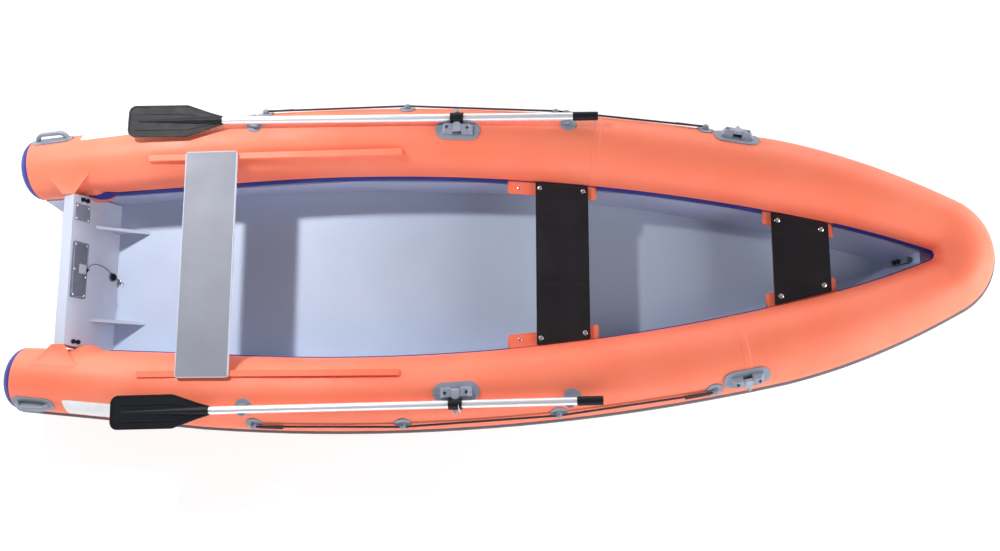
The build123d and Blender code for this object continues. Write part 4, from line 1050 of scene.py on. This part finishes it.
class BOAT_OT_decals(bpy.types.Operator):
    """Blank rounded patches on the stern quarters"""
    bl_idname = "boat.decals"
    bl_label = "Decal Patches"

    def execute(self, context):
        turn = round_angles(DECAL_COLUMNS)
        ends = np.stack((DECAL_X, np.radians(DECAL_ANGLE)))
        middle, half = ends.mean(axis=1), np.diff(ends)[:, 0] / 2
        power = np.abs(np.cos(turn)) ** DECAL_POWER + np.abs(np.sin(turn)) ** DECAL_POWER
        outline = power ** (-1 / DECAL_POWER)
        share, raised = np.array(DECAL_RINGS).T
        share = np.append(1.0, share)[:, None]
        lift = np.append(-DECAL_SINK, sizes().decal_height * raised)
        x = middle[0] + half[0] * share * outline * np.cos(turn)
        angle = middle[1] + half[1] * share * outline * np.sin(turn)
        lift = np.repeat(lift, DECAL_COLUMNS)[:, None]
        patch = skin(port_run(x.ravel()), angle.reshape(-1, 1), lift).reshape(*x.shape, 3)
        for label, side in SIDES.items():
            add_tubes(f"decal_{label}", [patch * (1.0, side, 1.0)], "decal")
        return {"FINISHED"}


def strands(line, along, radius, lay):
    """Three round strands twisted about a line.

    Each strand's centre turns once in a lay length, a set share of the radius off the line, and its circle
    stays in the plane across the line.
    """
    ahead = unit(np.gradient(line, axis=0))
    side = unit(np.cross(ahead, UP))
    up = np.cross(side, ahead)
    off, thick = (share * radius for share in STRAND)
    ring = round_angles(STRAND_SIDES)[None, :, None]
    around = thick * (np.cos(ring) * side[:, None, :] + np.sin(ring) * up[:, None, :])
    tubes = []
    for phase in round_angles(3):
        turn = (2 * math.pi * along / lay + phase)[:, None]
        centre = line + off * (np.cos(turn) * side + np.sin(turn) * up)
        tubes.append(centre[:, None, :] + around)
    return tubes


class BOAT_OT_ropes(bpy.types.Operator):
    """Twisted grab ropes along the tubes, with their ends spliced back"""
    bl_idname = "boat.ropes"
    bl_label = "Grab Ropes"

    def execute(self, context):
        main, tails = self.rope(sizes()), self.tails(sizes())
        for label, side in SIDES.items():
            piece = add_tubes(f"grab_rope_{label}", [rings * (1.0, side, 1.0) for rings in main], "rope")
            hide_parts(f"lifeline_{label}")
            add_tubes(f"rope_tails_{label}", [rings * (1.0, side, 1.0) for rings in tails], "rope")
        return {"FINISHED"}

    def rope(self, size):
        """Strands of the port rope, on straight spans between its pads."""
        ends = np.array([skin_frame(x, ROPE_PAD_ANGLE, ROPE_LIFT)[0] for x in ROPE_PADS_X])
        far = np.concatenate(([0.0], np.cumsum(np.linalg.norm(np.diff(ends, axis=0), axis=1))))
        along = np.linspace(0, far[-1], ROPE_ROWS)
        line = np.stack([np.interp(along, far, ends[:, k]) for k in range(3)], axis=-1)
        return strands(line, along, size.rope_radius, size.rope_lay)

    def tails(self, size):
        """Strands of the port tails, which lie along the tube below the rope from each end pad inwards."""
        along = np.linspace(0, size.rope_tail, TAIL_ROWS)
        angle = np.array([math.radians(ROPE_PAD_ANGLE) + TAIL_STEP * size.rope_radius / TUBE_R])
        tubes = []
        for x, way in ((ROPE_PADS_X[0], 1), (ROPE_PADS_X[-1], -1)):
            line = skin(port_run(x + way * (TAIL_START + along)), angle, ROPE_LIFT - TAIL_LOWER)[:, 0, :]
            tubes += strands(line, along, size.rope_radius, size.rope_lay)
        return tubes


def screw_head(place, normal, radius, spin):
    """Rings of a pan head: a low dome over a short rim, with a cross recess pressed into its middle."""
    side = unit(np.cross(normal, HEAD_ASIDE))
    up = np.cross(normal, side)
    turn = round_angles(HEAD_COLUMNS)
    reach = HEAD_RINGS[:, None]
    dome = HEAD_CROWN * radius * np.sqrt(np.clip(1 - HEAD_FLAT * reach ** 2, 0, 1))
    dome[0] = -HEAD_SINK
    half, far, deep = CROSS
    off_arm = np.minimum(np.abs(reach * np.cos(turn + spin)), np.abs(reach * np.sin(turn + spin)))
    height = dome - np.where((off_arm < half) & (reach < far), deep * radius, 0.0)
    around = np.cos(turn)[:, None] * side + np.sin(turn)[:, None] * up
    return place + radius * reach[..., None] * around + height[..., None] * normal


class BOAT_OT_screws(bpy.types.Operator):
    """Pan-head screws of the thwarts, tabs, transom plates and rowlocks"""
    bl_idname = "boat.screws"
    bl_label = "Screws"

    def execute(self, context):
        size = sizes()
        level = [(place, size.thwart_screw, THWART_SPIN * place[0]) for place in THWART_SCREWS]
        level.append((TAB_SCREW, size.tab_screw, TAB_SPIN))
        heads = [
            screw_head(np.array(place) * (1.0, side, 1.0), np.array(UP), radius, spin)
            for place, radius, spin in level for side in SIDES.values()
        ]
        add_tubes("thwart_screws", heads, "steel")
        turned = [(place, place[0]) for place in PAD_SCREWS] + [(place, place[1]) for place in PLATE_SCREWS]
        heads = [
            screw_head(on_transom(*place), TRANSOM_OFF, size.plate_screw, PLATE_SPIN * turn)
            for place, turn in turned
        ]
        add_tubes("transom_screws", heads, "steel")
        out, height = RECESS
        heads = []
        for x, angle in ROWLOCKS:
            for side in SIDES.values():
                point, forward, normal = skin_frame(x, angle, height, side)
                for way in (1, -1):
                    heads.append(screw_head(point + way * out * forward, normal, size.rowlock_screw, x + way))
        add_tubes("rowlock_screws", heads, "fitting")
        return {"FINISHED"}


class BOAT_OT_split_ring(bpy.types.Operator):
    """Split ring on the starboard rowlock's finger"""
    bl_idname = "boat.split_ring"
    bl_label = "Split Ring"

    def execute(self, context):
        face = unit(np.array(RING_FACES))
        side = unit(np.cross(face, UP))
        path = circle(np.array(RING_PLACE), side, np.cross(side, face), RING_R)
        add_tubes("split_ring", [loop_rings(path, RING_WIRE)], "steel", body="oar_starboard")
        return {"FINISHED"}


class BOAT_OT_snap_hook(bpy.types.Operator):
    """Snap hook that lies by the drain, with its eye"""
    bl_idname = "boat.snap_hook"
    bl_label = "Snap Hook"

    def execute(self, context):
        half_long, half_wide = HOOK_HALF
        along, across = stadium(half_long, half_wide, half_wide, HOOK_ROWS)
        path = HOOK_PLACE + along * HOOK_ALONG + across * HOOK_ACROSS
        eye = circle(HOOK_PLACE - EYE_BACK * HOOK_ALONG, HOOK_ALONG, HOOK_ACROSS, EYE_R)
        add_tubes("snap_hook", [loop_rings(path, HOOK_WIRE), loop_rings(eye, EYE_WIRE)], "steel")
        return {"FINISHED"}


class BOAT_OT_lanyard_knot(bpy.types.Operator):
    """Knot of the lanyard at its tag: a trefoil"""
    bl_idname = "boat.lanyard_knot"
    bl_label = "Lanyard Knot"

    def execute(self, context):
        turn = round_angles(LOOP_ROWS)
        trefoil = np.stack((
            np.sin(turn) + 2 * np.sin(2 * turn), np.cos(turn) - 2 * np.cos(2 * turn), -np.sin(3 * turn),
        ), axis=-1)
        knot = loop_rings(on_transom(*KNOT_PLACE) + KNOT_SIZE * trefoil, KNOT_WIRE)
        add_tubes("lanyard_knot", [knot], "blade")
        return {"FINISHED"}


class BOAT_OT_pad_rim(bpy.types.Operator):
    """Raised rim round the inner motor pad"""
    bl_idname = "boat.pad_rim"
    bl_label = "Motor Pad Rim"

    def execute(self, context):
        across, down = stadium(*PAD_RIM, PAD_RIM_ROWS)
        path = on_transom(*PAD_RIM_PLACE) + across * (0.0, 1.0, 0.0) + down * TRANSOM_DOWN
        add_tubes("motor_pad_rim", [loop_rings(path, PAD_RIM_WIRE)], "plate")
        return {"FINISHED"}


class BOAT_OT_lanyard(bpy.types.Operator):
    """Soft cord from its tag to the drain plug"""
    bl_idname = "boat.lanyard"
    bl_label = "Plug Lanyard"

    def execute(self, context):
        points = np.array([on_transom(*place) for place in CORD_ROUTE])
        curve = bpy.data.curves.new("plug_lanyard", "CURVE")
        curve.dimensions = "3D"
        curve.bevel_depth = CORD_THICK / 2
        curve.bevel_resolution = 4
        curve.resolution_u = 12
        curve.use_fill_caps = True
        spline = curve.splines.new("NURBS")
        spline.points.add(len(points) - 1)
        spline.points.foreach_set("co", np.c_[points, np.ones(len(points))].ravel())
        spline.order_u = 3
        spline.use_endpoint_u = True
        cord = bpy.data.objects.new("plug_lanyard", curve)
        context.scene.collection.objects.link(cord)
        curve.materials.append(finish_of("rope"))
        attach(cord, "boat")
        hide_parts("lanyard")
        return {"FINISHED"}


class BOAT_OT_stage(bpy.types.Operator):
    """Pale floor at the waterline, soft light and the camera"""
    bl_idname = "boat.stage"
    bl_label = "Stage"

    def execute(self, context):
        scene = context.scene
        self.lay_floor(scene)
        self.light_sky(scene)
        self.hang_lamps(scene)
        self.aim_camera(scene)
        scene.view_settings.view_transform = "Standard"
        return {"FINISHED"}

    def lay_floor(self, scene):
        corners = [(x * FLOOR_HALF, y * FLOOR_HALF, 0.0) for x, y in ((-1, -1), (1, -1), (1, 1), (-1, 1))]
        mesh = bpy.data.meshes.new("floor")
        mesh.from_pydata(corners, [], [(0, 1, 2, 3)])
        mesh.materials.append(self.floor_finish())
        floor = bpy.data.objects.new("floor", mesh)
        scene.collection.objects.link(floor)

    def floor_finish(self):
        """Matte floor that glows to the camera and in reflections, so that it stays pale round the shadow."""
        material = bpy.data.materials.new("studio_floor")
        material.use_nodes = True
        tree = material.node_tree
        shader = tree.nodes["Principled BSDF"]
        shader.inputs["Base Color"].default_value = (FLOOR_GREY, FLOOR_GREY, FLOOR_GREY, 1.0)
        shader.inputs["Roughness"].default_value = 0.9
        shader.inputs["Specular IOR Level"].default_value = 0.0
        rays = tree.nodes.new("ShaderNodeLightPath").outputs
        glow = tree.nodes.new("ShaderNodeEmission")
        seen = math_node(tree, "ADD", rays["Is Camera Ray"], rays["Is Glossy Ray"], clamp=True)
        tree.links.new(math_node(tree, "MULTIPLY", seen, FLOOR_GLOW), glow.inputs["Strength"])
        both = tree.nodes.new("ShaderNodeAddShader")
        tree.links.new(shader.outputs[0], both.inputs[0])
        tree.links.new(glow.outputs[0], both.inputs[1])
        tree.links.new(both.outputs[0], tree.nodes["Material Output"].inputs["Surface"])
        return material

    def light_sky(self, scene):
        """Sky whose light comes from the sides and dies out with the height."""
        world = bpy.data.worlds.new("studio")
        world.use_nodes = True
        tree = world.node_tree
        sky = tree.nodes["Background"]
        sky.inputs["Color"].default_value = SKY_TINT
        height = split(tree, tree.nodes.new("ShaderNodeTexCoord").outputs["Generated"])["Z"]
        stage = scene.boat_stage
        strength = spread(tree, height, 0.0, SKY_BAND, stage.horizon, stage.zenith)
        tree.links.new(strength, sky.inputs["Strength"])
        scene.world = world

    def hang_lamps(self, scene):
        for name, (place, towards, side, beam) in LAMPS.items():
            light = bpy.data.lights.new(name, "AREA")
            light.energy = getattr(scene.boat_stage, name)
            light.size = side
            light.spread = math.radians(beam)
            lamp = bpy.data.objects.new(name, light)
            lamp.location = place
            lamp.rotation_euler = (Vector(place) - Vector(towards)).to_track_quat("Z", "Y").to_euler()
            lamp.visible_camera = False
            scene.collection.objects.link(lamp)

    def aim_camera(self, scene):
        about_x, about_y, about_z = (
            Matrix.Rotation(angle, 3, axis) for angle, axis in zip(CAMERA_TILT, "XYZ")
        )
        to_camera = about_z @ about_y @ about_x
        lens = bpy.data.cameras.new("camera")
        lens.sensor_width = SENSOR_WIDE
        lens.lens = scene.boat_stage.focal
        camera = bpy.data.objects.new("camera", lens)
        camera.matrix_world = Matrix.Translation(CAMERA_PLACE) @ to_camera.transposed().to_4x4()
        scene.collection.objects.link(camera)
        scene.camera = camera


OPERATORS = (
    BOAT_OT_stage, BOAT_OT_finishes, BOAT_OT_lanyard, BOAT_OT_tube_skins, BOAT_OT_stern_caps,
    BOAT_OT_lip_tape, BOAT_OT_webs, BOAT_OT_cuffs, BOAT_OT_tabs, BOAT_OT_seams, BOAT_OT_decals, BOAT_OT_ropes,
    BOAT_OT_screws, BOAT_OT_split_ring, BOAT_OT_snap_hook, BOAT_OT_lanyard_knot, BOAT_OT_pad_rim,
)
GROUPS = {"boat_sizes": BoatSizes, "boat_colours": BoatColours, "boat_stage": BoatStage}


class BOAT_PT_sidebar(bpy.types.Panel):
    """Sidebar panel that lists the boat's pieces, sizes and colours"""
    bl_idname = "BOAT_PT_sidebar"
    bl_label = "Rigid Inflatable Boat"
    bl_space_type = "VIEW_3D"
    bl_region_type = "UI"
    bl_category = "Boat"

    def draw(self, context):
        for operator in OPERATORS:
            self.layout.operator(operator.bl_idname)
        for group, cls in GROUPS.items():
            box = self.layout.box()
            for name in cls.__annotations__:
                box.prop(getattr(context.scene, group), name)


CLASSES = (*GROUPS.values(), *OPERATORS, BOAT_PT_sidebar)


def register():
    for cls in CLASSES:
        bpy.utils.register_class(cls)
    for name, cls in GROUPS.items():
        setattr(bpy.types.Scene, name, bpy.props.PointerProperty(type=cls))


def unregister():
    for name in GROUPS:
        delattr(bpy.types.Scene, name)
    for cls in reversed(CLASSES):
        bpy.utils.unregister_class(cls)


def main():
    register()
    for operator in OPERATORS:
        area, name = operator.bl_idname.split(".")
        getattr(getattr(bpy.ops, area), name)()
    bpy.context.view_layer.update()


if __name__ == "__main__":
    main()
